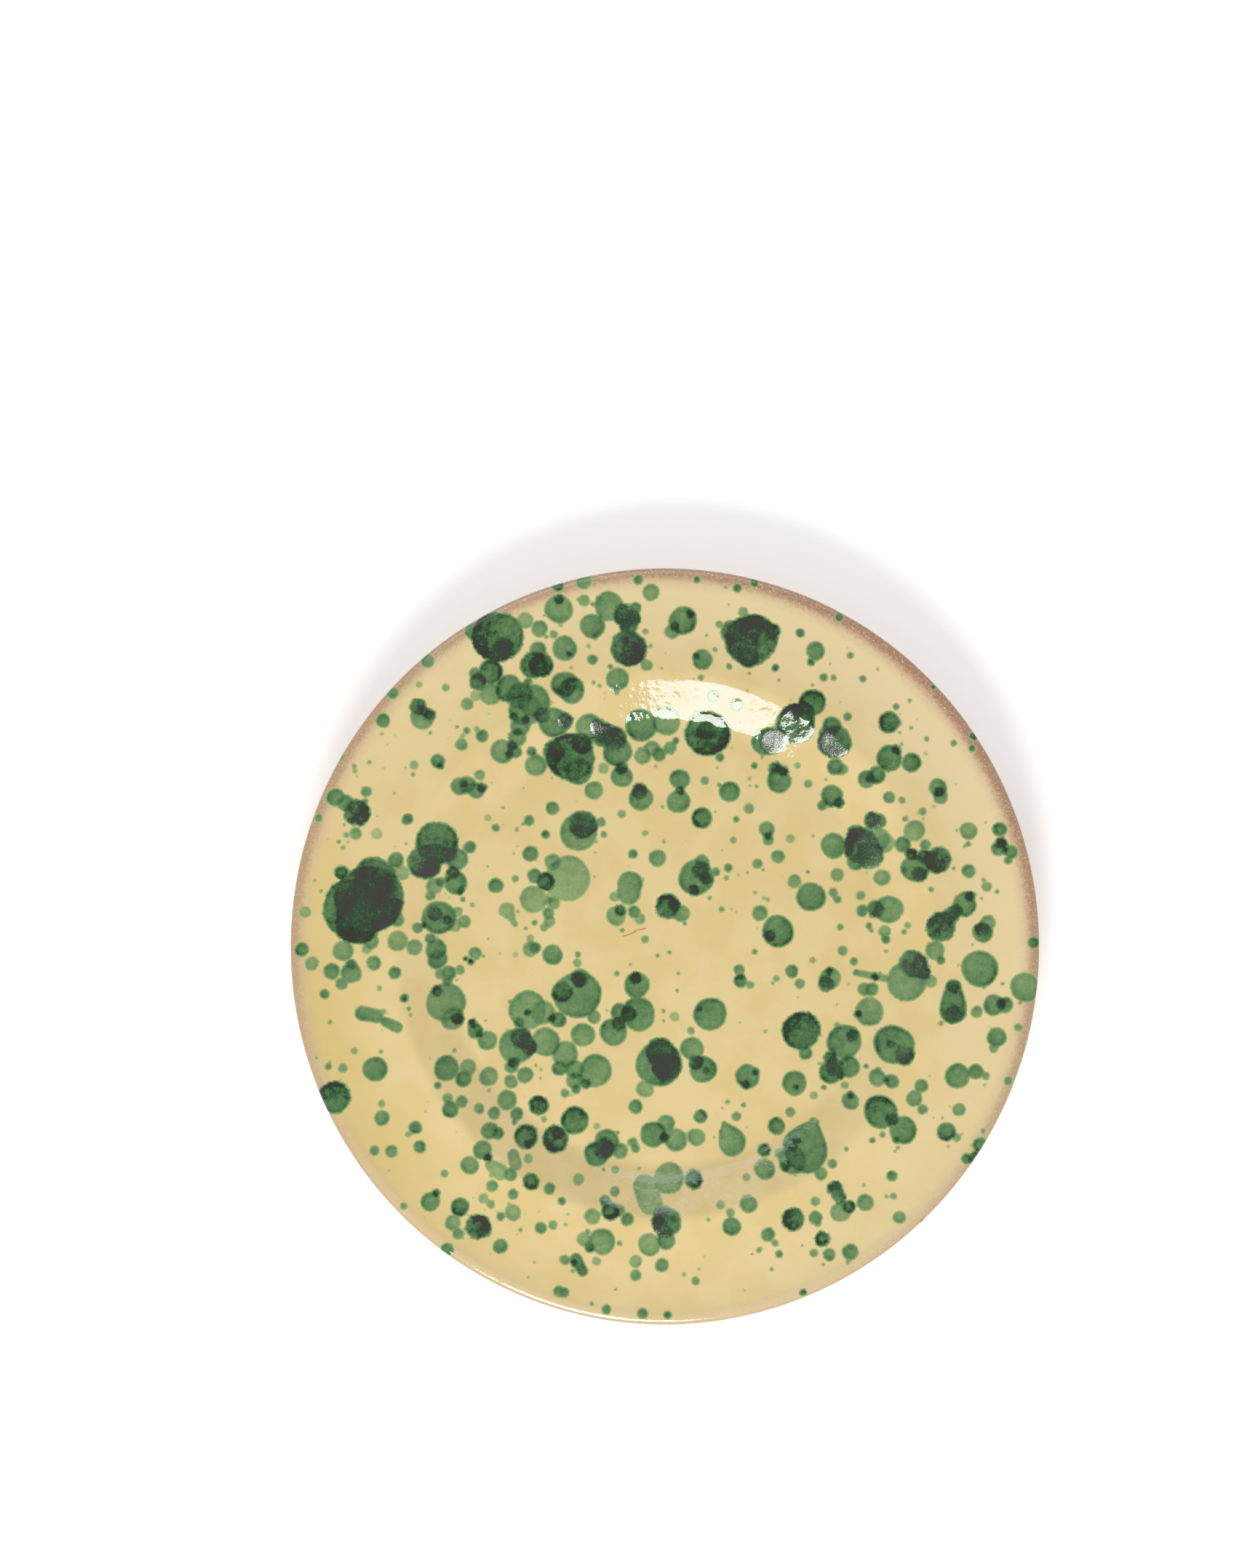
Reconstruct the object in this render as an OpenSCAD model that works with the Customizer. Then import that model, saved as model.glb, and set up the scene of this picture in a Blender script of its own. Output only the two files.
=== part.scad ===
// Dinner plate of hand-thrown red earthenware. It is dipped in cream slip, splashed with
// copper green and glazed. The origin is the centre of the foot's resting face, with +Z up.

/* [Plate] */
// Diameter over the glazed lip
plate_d = 270; // [250:1:324]
// Diameter of the flat well in the middle
well_d = 156; // [120:1:188]
// Width of the sloping wall round the well
wall_w = 21; // [14:1:28]
// Height of the shoulder above the well
wall_rise = 8.5; // [5:0.5:14]
// Height of the lip above the shoulder
lip_rise = 2.5; // [1:0.5:8]

/* [Clay] */
// Thickness of the clay under the well
floor_t = 6.5; // [4:0.1:10]
// Thickness of the clay under the shoulder
shoulder_t = 5.5; // [4:0.1:8]
// Thickness of the clay at the rounded lip
lip_t = 3.4; // [2.4:0.1:4.4]

/* [Foot] */
// Height of the foot ring
foot_h = 5; // [3:0.1:10]
// Width of the foot ring where it joins the plate
foot_w = 8; // [5:0.1:12]
// How far the foot ring stands in from the edge of the well
foot_inset = 4; // [2:0.1:20]
// How far each side of the foot ring leans in towards its resting face
foot_lean = 1; // [0.2:0.1:2]

/* [Coats] */
// Thickness of the cream slip
slip_t = 0.4; // [0.2:0.05:0.8]
// Thickness of the glaze on the face
glaze_t = 0.5; // [0.3:0.05:0.8]
// Thickness of the glaze over the lip and on the back
thin_glaze_t = 0.4; // [0.2:0.05:0.6]
// Width of the band inside the lip that the slip leaves bare
bare_w = 7; // [4:0.5:12]
// How far the lip glaze reaches in on the back
lip_glaze_reach = 5; // [3:0.5:12]

/* [Splashes] */
// Number of small specks
speck_count = 48; // [12:1:60]
// Radius of the smallest speck
speck_r_min = 0.8; // [0.6:0.1:1]
// Radius of the largest speck
speck_r_max = 1.7; // [1.2:0.1:2.4]

/* [Hidden] */
$fn = 96;

plate_r = plate_d / 2;
well_r = well_d / 2;
shoulder_r = well_r + wall_w;
foot_r = well_r - foot_inset;
lip_r = lip_t / 2;                       // radius of the clay's rounded lip
lip_centre_r = plate_r - thin_glaze_t - lip_r;
band_r = plate_r - bare_w;               // where slip and face glaze stop

shoulder_slope = -0.08;                  // the rim first falls a little, outwards
lip_slope = 0.3;                         // and turns up towards the lip
lip_tilt = atan(lip_slope);
bend_in = 2;                             // the underside bends up this far outside the foot
wall_steps = 8;                          // points along each curved stretch
rim_steps = 9;
band_steps = 2;
lip_steps = 8;

well_z = foot_h + floor_t;
shoulder_z = well_z + wall_rise;
lip_z = shoulder_z + lip_rise;           // where the clay's face meets the rounded lip
lip_centre_z = lip_z - lip_r * cos(lip_tilt);
plan_z = lip_z + 20;                     // taller than the plate, for the splashes' outlines

// A station on a profile is [radius, height, slope].
WELL_EDGE = [well_r, well_z, 0];
SHOULDER = [shoulder_r, shoulder_z, shoulder_slope];
LIP_FACE = [lip_centre_r - lip_r * sin(lip_tilt), lip_z, lip_slope];
BACK_BEND = [foot_r + bend_in, foot_h, 0];
BACK_SHOULDER = [shoulder_r + bend_in, shoulder_z - shoulder_t, 0];
LIP_BACK = [lip_centre_r + lip_r * sin(lip_tilt), lip_centre_z - lip_r * cos(lip_tilt), lip_slope];
band_share = (band_r - SHOULDER[0]) / (LIP_FACE[0] - SHOULDER[0]);
reach_share = 1 - lip_glaze_reach / (LIP_BACK[0] - BACK_SHOULDER[0]);

// Splashes are [x, y, radius]: the centre in hundredths of the plate's radius, the radius in mm.
DARK = [[-80, 12, 12], [-61, 27, 6], [-44, 83, 7], [-10, 79, 5], [23, 82, 8], [-15, 56, 5],
        [-50, 47, 5], [54, 27, 6], [70, 23, 6.5], [74, 6, 5], [-2, -32, 5], [36, -23, 5],
        [9, 18, 4.5], [0, -74, 4.5], [-17, -55, 4.5]];
POOLS = [[-81, 17, 9], [-64, 21, 6.5], [-43, 87, 7], [-12, 87, 5.5], [26, 79, 8.5],
         [-25, 50, 9], [11, 56, 8.5], [-26, 18, 8], [50, 29, 7], [65, -9, 8.5], [47, -28, 8],
         [61, -27, 7.5], [2, -29, 7.5], [-23, -13, 8.5], [-59, -14, 7], [38, -53, 8], [-4, -65, 8.5]];
DROPS = [[-37, -17, 6.5], [-60, 5, 5.5], [-58, -33, 4], [12, -19, 6], [39, 13, 5.2],
         [30, 4, 5.5], [83, -6, 5.5], [-24, -47, 5], [-30, -52, 4.2], [2, -51, 6], [18, -52, 4.8],
         [57, -44, 5.6], [63, -49, 4.6], [-50, -74, 4.4], [-18, -79, 5], [-46, 60, 5],
         [-33, 73, 5], [6, 72, 4.5], [43, 60, 5], [-72, -28, 4], [-86, -38, 5], [84, 28, 4],
         [26, 33, 3.6], [-8, 37, 4.2], [-44, 33, 4], [76, -30, 4], [29, -77, 4.4], [-2, 4, 3]];
golden_angle = 137.508;
speck_inner = 0.12;                      // specks spread between these shares of the band's radius
speck_outer = 0.96;

function slope_at(a, b, t) = let (w = b[0] - a[0])
    (6 * t * t - 6 * t) * (a[1] - b[1]) / w + (3 * t * t - 4 * t + 1) * a[2] + (3 * t * t - 2 * t) * b[2];
function height_at(a, b, t) = let (w = b[0] - a[0], t2 = t * t, t3 = t2 * t)
    (2 * t3 - 3 * t2 + 1) * a[1] + (t3 - 2 * t2 + t) * w * a[2]
    + (3 * t2 - 2 * t3) * b[1] + (t3 - t2) * w * b[2];
// Stations along the smooth curve from a to b, between the shares t0 and t1 of the way.
function stretch(a, b, steps, t0 = 0, t1 = 1) = [for (i = [0:steps])
    let (t = t0 + (t1 - t0) * i / steps) [a[0] + (b[0] - a[0]) * t, height_at(a, b, t), slope_at(a, b, t)]];
// A station moved square to the surface: up for a positive distance.
function raised(p, d) = let (n = sqrt(1 + p[2] * p[2])) [p[0] - d * p[2] / n, p[1] + d / n];
function raised_all(list, d) = [for (p = list) raised(p, d)];
function tapered(list, d0, d1) = let (n = len(list) - 1)
    [for (i = [0:n]) raised(list[i], d0 + (d1 - d0) * i / n)];
function rest_of(list) = [for (i = [1:len(list) - 1]) list[i]];
function turned(list) = [for (i = [len(list) - 1:-1:0]) list[i]];
function lip_arc(d) = [for (i = [1:lip_steps - 1])
    let (a = 90 + lip_tilt - 180 * i / lip_steps)
    [lip_centre_r + (lip_r + d) * cos(a), lip_centre_z + (lip_r + d) * sin(a)]];

FACE_MAIN = concat([[0, well_z, 0]], stretch(WELL_EDGE, SHOULDER, wall_steps),
                   rest_of(stretch(SHOULDER, LIP_FACE, rim_steps, 0, band_share)));
FACE_BAND = stretch(SHOULDER, LIP_FACE, band_steps, band_share, 1);
BACK_BAND = turned(stretch(BACK_SHOULDER, LIP_BACK, band_steps, reach_share, 1));
BACK_MAIN = turned(concat(stretch(BACK_BEND, BACK_SHOULDER, wall_steps),
                          rest_of(stretch(BACK_SHOULDER, LIP_BACK, rim_steps, 0, reach_share))));

module disc_profile(points) {
    rotate_extrude($fn = 180) polygon(points);
}

module glaze_shell() {
    disc_profile(concat(raised_all(FACE_MAIN, slip_t),
                        turned(raised_all(FACE_MAIN, slip_t + glaze_t))));
}

module blots(list) {
    for (b = list) translate([b[0] * plate_r / 100, b[1] * plate_r / 100]) circle(r = b[2]);
}

module specks() {
    for (i = [0:speck_count - 1]) {
        share = speck_inner + (speck_outer - speck_inner) * sqrt((i + 0.5) / speck_count);
        size = speck_r_min + (speck_r_max - speck_r_min) * (i * 7 % 10) / 10;
        rotate(i * golden_angle) translate([share * band_r, 0]) circle(r = size);
    }
}

// The part of the face glaze inside the first outline and outside the others.
module stained() {
    intersection() {
        glaze_shell();
        linear_extrude(plan_z) difference() {
            children(0);
            if ($children > 1) children(1);
            if ($children > 2) children(2);
            if ($children > 3) children(3);
        }
    }
}

// The thrown dish: floor, wall, rim and rounded lip.
module clay_body() {
    color([0.69, 0.44, 0.31])
        disc_profile(concat(raised_all(FACE_MAIN, 0), rest_of(raised_all(FACE_BAND, 0)), lip_arc(0),
                            raised_all(BACK_BAND, 0), rest_of(raised_all(BACK_MAIN, 0)),
                            [[0, foot_h]]));
}

// The ring that the plate stands on.
module foot_ring() {
    color([0.66, 0.41, 0.29]) disc_profile([
        [foot_r, foot_h],
        [foot_r - foot_lean, 0],
        [foot_r - foot_w + foot_lean, 0],
        [foot_r - foot_w, foot_h]]);
}

// The cream slip under the glaze, over the whole face but the lip.
module slip_coat() {
    color([0.93, 0.87, 0.74])
        disc_profile(concat(raised_all(FACE_MAIN, 0), turned(raised_all(FACE_MAIN, slip_t))));
}

// The clear honey glaze between the splashes.
module face_glaze() {
    color([0.87, 0.78, 0.56]) difference() {
        glaze_shell();
        linear_extrude(plan_z) union() {
            blots(DARK);
            blots(POOLS);
            blots(DROPS);
            specks();
        }
    }
}

// The thin glaze on the bare clay of the lip.
module lip_glaze() {
    color([0.76, 0.60, 0.45]) disc_profile(concat(
        raised_all(FACE_BAND, 0), lip_arc(0), raised_all(BACK_BAND, 0),
        turned(concat(tapered(FACE_BAND, slip_t + glaze_t, thin_glaze_t), lip_arc(thin_glaze_t),
                      raised_all(BACK_BAND, -thin_glaze_t)))));
}

// The glaze on the underside, from the lip glaze to the foot.
module back_glaze() {
    color([0.80, 0.66, 0.44])
        disc_profile(concat(raised_all(BACK_MAIN, 0), turned(raised_all(BACK_MAIN, -thin_glaze_t))));
}

// Where the copper lay so thick that the glaze turned black.
module dark_pools() {
    color([0.16, 0.24, 0.18]) stained() blots(DARK);
}

// The large green pools.
module green_pools() {
    color([0.25, 0.47, 0.29]) stained() {
        blots(POOLS);
        blots(DARK);
    }
}

// The drops between them.
module green_drops() {
    color([0.38, 0.58, 0.38]) stained() {
        blots(DROPS);
        blots(DARK);
        blots(POOLS);
    }
}

// The fine specks that fell off the brush.
module green_specks() {
    color([0.52, 0.66, 0.46]) stained() {
        specks();
        blots(DARK);
        blots(POOLS);
        blots(DROPS);
    }
}

clay_body();
foot_ring();
slip_coat();
face_glaze();
lip_glaze();
back_glaze();
dark_pools();
green_pools();
green_drops();
green_specks();
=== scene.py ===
# %% [markdown]
# # A hand painted plate in splashed green glaze
# The plate was thrown in red clay, coated with cream slip, glazed in straw yellow and splashed
# with copper green. This script builds what the eye sees of it round a finished CAD model:
# the skin of glaze, the splashes, the brown lip, the back and the foot.
# The CAD model comes first, because the plate's overall sizes here are read from it.
# %% Load the CAD model
import math

import bpy
import numpy as np
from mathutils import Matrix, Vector


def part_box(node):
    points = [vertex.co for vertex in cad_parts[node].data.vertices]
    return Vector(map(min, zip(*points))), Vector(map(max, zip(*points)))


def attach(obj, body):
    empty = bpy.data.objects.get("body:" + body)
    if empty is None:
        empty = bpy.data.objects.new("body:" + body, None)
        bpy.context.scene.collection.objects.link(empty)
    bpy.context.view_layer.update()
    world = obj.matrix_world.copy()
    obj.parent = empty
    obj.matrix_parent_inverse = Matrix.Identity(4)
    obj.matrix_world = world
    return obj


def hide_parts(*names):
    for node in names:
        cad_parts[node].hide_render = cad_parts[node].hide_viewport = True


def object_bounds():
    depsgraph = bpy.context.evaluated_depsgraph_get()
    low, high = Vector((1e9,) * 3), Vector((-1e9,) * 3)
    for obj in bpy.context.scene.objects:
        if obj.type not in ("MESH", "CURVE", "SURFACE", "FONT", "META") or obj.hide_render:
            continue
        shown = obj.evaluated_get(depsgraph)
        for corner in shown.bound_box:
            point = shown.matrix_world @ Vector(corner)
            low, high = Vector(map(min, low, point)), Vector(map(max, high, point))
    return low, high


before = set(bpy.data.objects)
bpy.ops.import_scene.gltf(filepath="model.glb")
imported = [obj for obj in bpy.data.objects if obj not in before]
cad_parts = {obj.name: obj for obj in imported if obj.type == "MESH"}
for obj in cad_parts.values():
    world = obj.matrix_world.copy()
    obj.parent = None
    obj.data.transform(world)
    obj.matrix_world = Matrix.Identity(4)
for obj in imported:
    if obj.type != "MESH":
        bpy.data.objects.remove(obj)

MM = 0.001
cad_low, cad_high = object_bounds()
print("CAD box in mm:", [round(v / MM, 2) for v in (*cad_low, *cad_high)])

# %% [markdown]
# ## The profile
# A thrown plate is one curve turned round an axis. We write the curve down once as stations,
# each a radius, a height and a slope, with a smooth cubic between neighbours. The same curve
# then gives the glazed face, the lip and the back, so no two skins can drift apart. The lip is
# two arcs, a gentle one on top and a tight one round the edge, as a wet finger leaves it.
# %% Sizes of the profile
PLATE_R = (cad_high.x - cad_low.x) / 2 / MM
PLATE_H = cad_high.z / MM
foot_low, foot_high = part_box("foot_ring")
slip_low, slip_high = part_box("slip_coat")
FOOT_R = foot_high.x / MM
FOOT_H = foot_high.z / MM
BAND_R = slip_high.x / MM
WELL_R = 78.0
SLIP_T = 0.4
GLAZE_T = 0.5
FLOOR_Z = slip_low.z / MM + SLIP_T + GLAZE_T
WALL_W = 21.0
WALL_RISE = 8.5
LIP_R = 1.6
TOP_R = 4.5
TOP_TILT = math.radians(29)
print("radius", round(PLATE_R, 2), "height", round(PLATE_H, 2), "glazed floor", round(FLOOR_Z, 2))

# %% [markdown]
# A spline from Blender's curve tools would do for the curve, but then its points are hard to
# count. Here numpy evaluates the cubics itself, at even steps that the mesh can use as rings.
# %% Curves between stations
def between(stations, step):
    """Points on a smooth curve through stations of radius, height and slope."""
    radii, heights = [stations[0][0]], [stations[0][1]]
    for (r0, z0, m0), (r1, z1, m1) in zip(stations, stations[1:]):
        count = max(2, round(abs(r1 - r0) / step))
        t = np.arange(1, count + 1) / count
        width = r1 - r0
        start = (2 * t**3 - 3 * t**2 + 1) * z0 + (t**3 - 2 * t**2 + t) * width * m0
        end = (3 * t**2 - 2 * t**3) * z1 + (t**3 - t**2) * width * m1
        radii += list(r0 + width * t)
        heights += list(start + end)
    return np.array(radii), np.array(heights)


STEP = 0.55
BACK_STEP = 1.2
LIP_SLOPE = 0.3
WALL_SLOPE = 0.48
BACK_DIP = 0.4
tilt = math.atan(LIP_SLOPE)
lip_centre = PLATE_R - LIP_R
top_centre = lip_centre - (TOP_R - LIP_R) * math.sin(TOP_TILT)
TOP_Z = PLATE_H - TOP_R
LIP_Z = TOP_Z + (TOP_R - LIP_R) * math.cos(TOP_TILT)
face_stations = [
    (STEP, FLOOR_Z, 0),
    (WELL_R, FLOOR_Z, 0),
    (WELL_R + 7, FLOOR_Z + 2.7, WALL_SLOPE),
    (WELL_R + 17, FLOOR_Z + 7.5, WALL_SLOPE),
    (WELL_R + WALL_W, FLOOR_Z + WALL_RISE, -0.06),
    (top_centre - TOP_R * math.sin(tilt), TOP_Z + TOP_R * math.cos(tilt), LIP_SLOPE),
]
back_stations = [
    (lip_centre + LIP_R * math.sin(tilt), LIP_Z - LIP_R * math.cos(tilt), LIP_SLOPE),
    (101, 14.1, 0),
    (76, FOOT_H - BACK_DIP, 0),
    (FOOT_R - 1, FOOT_H - BACK_DIP, 0),
]
face_r, face_z = between(face_stations, STEP)
back_r, back_z = between(back_stations, BACK_STEP)
over = np.linspace(-tilt, TOP_TILT, 12)[1:]
under = np.linspace(TOP_TILT, math.pi - tilt, 16)[1:-1]
lip_r = np.append(top_centre + TOP_R * np.sin(over), lip_centre + LIP_R * np.sin(under))
lip_z = np.append(TOP_Z + TOP_R * np.cos(over), LIP_Z + LIP_R * np.cos(under))
ring_r = np.concatenate([face_r, lip_r, back_r])
ring_z = np.concatenate([face_z, lip_z, back_z])
print("rings on face, lip and back:", len(face_r), len(lip_r), len(back_r))

# %% [markdown]
# ## The hand in it
# A wheel gives a circle, but lifting the soft plate off and letting it dry pulls it a little
# out of round, and fingers leave faint rings. Both are a few tenths of a millimetre: too small
# to notice as a shape, yet they are what makes the reflections bend like real ones.
# %% From a ring to a whole skin
OVAL = 0.0055
WAVES = [(2, 0.16, 0.4), (3, 0.12, 2.1), (5, 0.07, 4.0), (7, 0.04, 1.3)]
THROWING = [(9.5, 0.008, 0.6), (5.3, 0.003, 2.2), (3.1, 0.001, 4.4)]


def hand_made(radius, height, angle, ringed=1.0):
    """Moves points of a perfect turned shape to where a hand-thrown one has them."""
    share = np.clip((radius - WELL_R) / (PLATE_R - WELL_R), 0, 1)
    stretch = 1 - OVAL * np.cos(2 * angle)
    drop = sum(size * np.sin(n * angle + phase) for n, size, phase in WAVES)
    rings = sum(size * np.sin(2 * math.pi * radius / width + phase) for width, size, phase in THROWING)
    x = radius * stretch * np.cos(angle)
    y = radius * stretch * np.sin(angle)
    return x, y, height + share * drop + ringed * rings


FEWEST = 135
DOUBLE_AT = [9, 34, 68]


def segments(radius):
    """How many steps a ring has: more on a wide ring, always doubling, so that rings join."""
    return FEWEST * 2 ** int(np.searchsorted(DOUBLE_AT, radius))


# %% [markdown]
# The rings become a mesh by joining each to the next. Two rings of the same count give four-sided
# faces. Where the count doubles, a fan of three triangles takes one step to two, so the faces
# stay under a millimetre across from the centre to the lip and no row of them is wasted.
# %% Join rings into faces
def ring_faces(counts):
    """Faces between neighbouring rings that have the same, double or half the number of points."""
    starts = np.concatenate([[0], np.cumsum(counts)])
    faces = []
    for i, (a, b) in enumerate(zip(counts, counts[1:])):
        one, two = starts[i], starts[i + 1]
        k = np.arange(min(a, b))
        if a == b:
            near = (k + 1) % a
            faces.append(np.stack([one + k, two + k, two + near, one + near], 1))
            continue
        few, many = (one, two) if a < b else (two, one)
        near, wide = (k + 1) % len(k), (2 * k + 2) % (2 * len(k))
        fans = [
            (few + k, many + 2 * k, many + 2 * k + 1),
            (few + k, many + 2 * k + 1, few + near),
            (few + near, many + 2 * k + 1, many + wide),
        ]
        flip = 1 if a < b else -1
        faces += [np.stack(fan, 1)[:, ::flip] for fan in fans]
    return faces


ring_counts = [segments(r) for r in ring_r]
angle = np.concatenate([np.arange(n) * 2 * math.pi / n for n in ring_counts])
flat_r = np.repeat(ring_r, ring_counts)
skin = np.stack(hand_made(flat_r, np.repeat(ring_z, ring_counts), angle), 1)
ring_of = np.repeat(np.arange(len(ring_r)), ring_counts)
print("points in the skin:", len(skin))

# %% [markdown]
# ## The splashes
# The potter flicked copper glaze off a loaded brush, and the drops fell where they fell.
# The large ones are given one by one below, because they are what makes this plate this plate:
# each is (x, y, radius, depth) in millimetres from the centre, depth running from 0.1 for a
# pale tint to 1 for a black core. They are listed as one would walk over the plate.
# %% Drops in the upper left
UPPER_LEFT = [
    (-60, 111, 9.2, 0.9), (-58, 107, 4, 1.0), (-69, 113, 2.8, 0.6),
    (-62.5, 98.5, 4.5, 0.8), (-67, 95, 3.2, 1.0),
    (-62.5, 90.5, 4, 0.45), (-56, 92.5, 5, 0.65), (-68, 98, 2.2, 0.5), (-88.5, 86, 3, 0.95),
    (-87, 82, 4.3, 0.5), (-84.5, 83, 2.2, 0.85), (-85, 102.5, 2.6, 0.5), (-97.5, 91, 2.3, 0.5),
    (-101, 81, 2.6, 0.6), (-88, 94, 1.4, 0.2), (-78.5, 93, 1.5, 0.3), (-71, 87, 2.3, 0.4),
    (-68, 90, 2.2, 0.2), (-81.5, 66.5, 2.6, 0.6), (-80.5, 65, 1.3, 0.9), (-90, 65, 1.8, 0.25),
    (-111, 63, 1, 0.35), (-107, 55.5, 2, 0.45), (-116, 68, 1.6, 0.4), (-73.5, 57.5, 3.3, 0.55),
    (-71, 58, 3.2, 0.6), (-72, 58, 1.4, 0.95), (-68, 56, 3, 0.6), (-66, 57, 1.9, 0.95),
    (-66.5, 61.5, 2, 0.4), (-73, 72.5, 2.3, 0.45), (-72.5, 75.5, 1.1, 0.25), (-71, 77.5, 1.3, 0.5),
    (-67.5, 78, 1.2, 0.3), (-65.5, 75.5, 2.3, 0.6), (-58.5, 70, 4.3, 0.5), (-55, 72, 2, 0.95),
    (-56, 69, 1.7, 0.95), (-54, 70, 2.5, 0.6), (-118, 53.5, 3.3, 0.6), (-114.5, 51.5, 3, 0.6),
    (-110.5, 48, 4.8, 1.0), (-50, 117, 3, 0.35), (-52, 90, 5, 0.6), (-50, 85, 6, 0.5),
    (-47, 88, 6, 0.6), (-54, 82.5, 1.8, 0.85), (-50, 81.5, 1.7, 0.85), (-52, 79, 3.5, 0.6),
    (-53, 77, 1.6, 0.85), (-53, 75, 3.3, 0.55), (-48, 70, 1.8, 0.7), (-46.5, 65, 4, 0.5),
    (-47, 101, 5, 0.85), (-45.5, 106.5, 3, 0.6), (-45, 114, 3, 0.5), (-49, 95, 1.6, 0.6),
    (-92.5, 45.5, 2, 0.5), (-101, 64, 1, 0.12), (-97, 55, 0.8, 0.25), (-106, 66, 0.9, 0.35),
]

# %% Drops at the top
TOP = [
    (-38.5, 129.5, 2.4, 0.7), (-29, 131, 3, 0.5), (-29, 124, 2.2, 0.35), (-38, 121, 5.1, 0.5),
    (-38, 124.5, 2, 0.8), (-20, 122, 5.3, 0.5), (-14.5, 119, 4.2, 0.95), (-11.5, 118, 3, 0.95),
    (-13, 115, 3.2, 0.95), (-10.5, 121.5, 2.1, 0.6), (-26, 115, 4.5, 0.6), (-25, 111, 1, 0.5),
    (-13, 107, 6.5, 1.0), (-6.5, 101, 2.2, 0.4), (-17, 96, 4.1, 0.55), (-17.5, 91.5, 1.4, 0.35),
    (-19.5, 100.5, 1, 0.5), (-36, 107, 4.5, 0.55), (-34.5, 105, 1.3, 0.9), (-26, 103, 1.9, 0.55),
    (-40, 112, 1.6, 0.35), (-36, 94, 4.8, 0.7), (-33.5, 92, 4.8, 0.7), (-34.5, 93, 1.5, 0.9),
    (-44.5, 101, 4.5, 0.85), (-40, 80.5, 5.5, 0.65), (-36, 81, 3, 0.95), (-44, 83, 3, 0.8),
    (-27.5, 79, 4.7, 0.5), (-22, 76, 4.5, 1.0), (-18, 74.5, 4.5, 1.0), (-24, 79, 3, 1.0),
    (-17, 70, 5.3, 0.6), (-34, 68, 8.8, 0.85), (-31, 63, 5, 0.6), (-30, 73, 4, 0.9),
    (-40, 70, 4, 0.9), (-22, 64, 2.2, 0.25), (-15.5, 61, 4, 0.6), (-15.5, 64, 2.4, 0.9),
    (-25.5, 56, 3.4, 0.45), (-8.5, 53, 4.4, 0.6), (-9, 55.5, 3, 1.0), (5.5, 60, 3.7, 0.6),
    (5.5, 56, 1.8, 0.95), (5, 52, 4.3, 0.55), (-8.5, 79.5, 5.8, 0.65), (0.5, 81, 5.2, 0.45),
    (-8, 68.5, 3.2, 0.4), (-4.5, 71, 3, 0.4), (-2, 69, 2.6, 0.6), (2, 71.5, 2.4, 0.45),
    (4, 74, 1.3, 0.6), (15.5, 76.5, 8.2, 0.88), (15, 77.5, 3.6, 0.8),
    (20, 68, 1.6, 0.6), (13.5, 103, 3.7, 0.6),
    (11.5, 104, 1.5, 0.8), (6.5, 117, 5.1, 0.65), (9, 119, 1.6, 0.9), (3.5, 115, 2, 0.9),
    (2.5, 113, 2.7, 0.45), (-5, 127, 3.1, 0.45), (-9.5, 131.5, 1.8, 0.65), (11.5, 131.5, 1.3, 0.65),
    (26, 128.5, 1.6, 0.7), (32, 130.5, 1.6, 0.7), (31, 110, 9.3, 1.0), (38.5, 113, 3, 0.8),
    (24, 113, 4, 0.95), (19.5, 115.5, 1.4, 0.4), (30, 104, 4, 0.8), (28, 120, 1.9, 0.35),
    (13, 96.5, 1.2, 0.4), (17.5, 90, 2, 0.4), (26, 87, 2.2, 0.4), (23, 100.5, 1.2, 0.45),
    (39.5, 100, 1.3, 0.8), (32.5, 65, 1.3, 0.55), (36.5, 73.5, 5, 0.6), (39, 74, 5, 1.0),
    (23.5, 55.5, 3.8, 0.65), (14.5, 59.5, 1.6, 0.4), (41.5, 59.5, 4.5, 0.65), (40, 64, 2.4, 0.95),
    (43, 63, 2, 0.9), (-40.5, 49.5, 2.5, 0.6), (30.5, 49.5, 2, 0.4), (-7, 113, 1.2, 0.3),
]

# %% Drops in the upper right
UPPER_RIGHT = [
    (53, 87.5, 4.8, 0.8), (47, 80, 7, 0.9), (50, 84, 4, 0.9), (61, 73.5, 6, 0.97),
    (60, 79, 3.5, 0.7), (57.5, 76.5, 2.5, 0.45), (61.5, 64.5, 3, 0.65), (64, 63.5, 2, 0.5),
    (60.5, 54, 4, 0.7), (63, 51.5, 2, 0.85), (57, 50.5, 1.8, 0.5), (52, 58.5, 1.6, 0.35),
    (48, 65, 1.3, 0.3), (54, 106, 3.4, 0.6), (52.5, 102, 1.4, 0.7), (48.5, 112.5, 1.6, 0.7),
    (66.5, 104.5, 1.3, 0.45), (57, 96.5, 1.5, 0.55), (60.5, 96.5, 1.2, 0.4), (71, 96, 1.3, 0.5),
    (62.5, 118, 1.6, 0.7), (96, 93, 1, 0.8), (65.5, 82.5, 1.6, 0.5), (80.5, 80.5, 3.9, 0.8),
    (83, 86, 1.2, 0.5), (80.5, 67.5, 4.7, 0.7), (83, 70.5, 1.8, 0.9), (88.5, 66, 3.5, 0.7),
    (76, 61.5, 3.2, 0.7), (72.5, 60, 3.2, 0.6), (73.5, 60.5, 1.7, 0.97), (80.5, 53.5, 2.2, 0.5),
    (85, 52.5, 1.4, 0.35), (98, 57, 3.3, 0.6), (98.5, 55.5, 2, 0.95), (99, 53.5, 2.6, 0.5),
    (94, 74.5, 1, 0.4), (103.5, 73, 1.2, 0.5), (110, 71, 1.3, 0.8), (110.5, 75.5, 1.6, 0.8),
    (92.5, 48.5, 1.5, 0.4),
]

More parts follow.
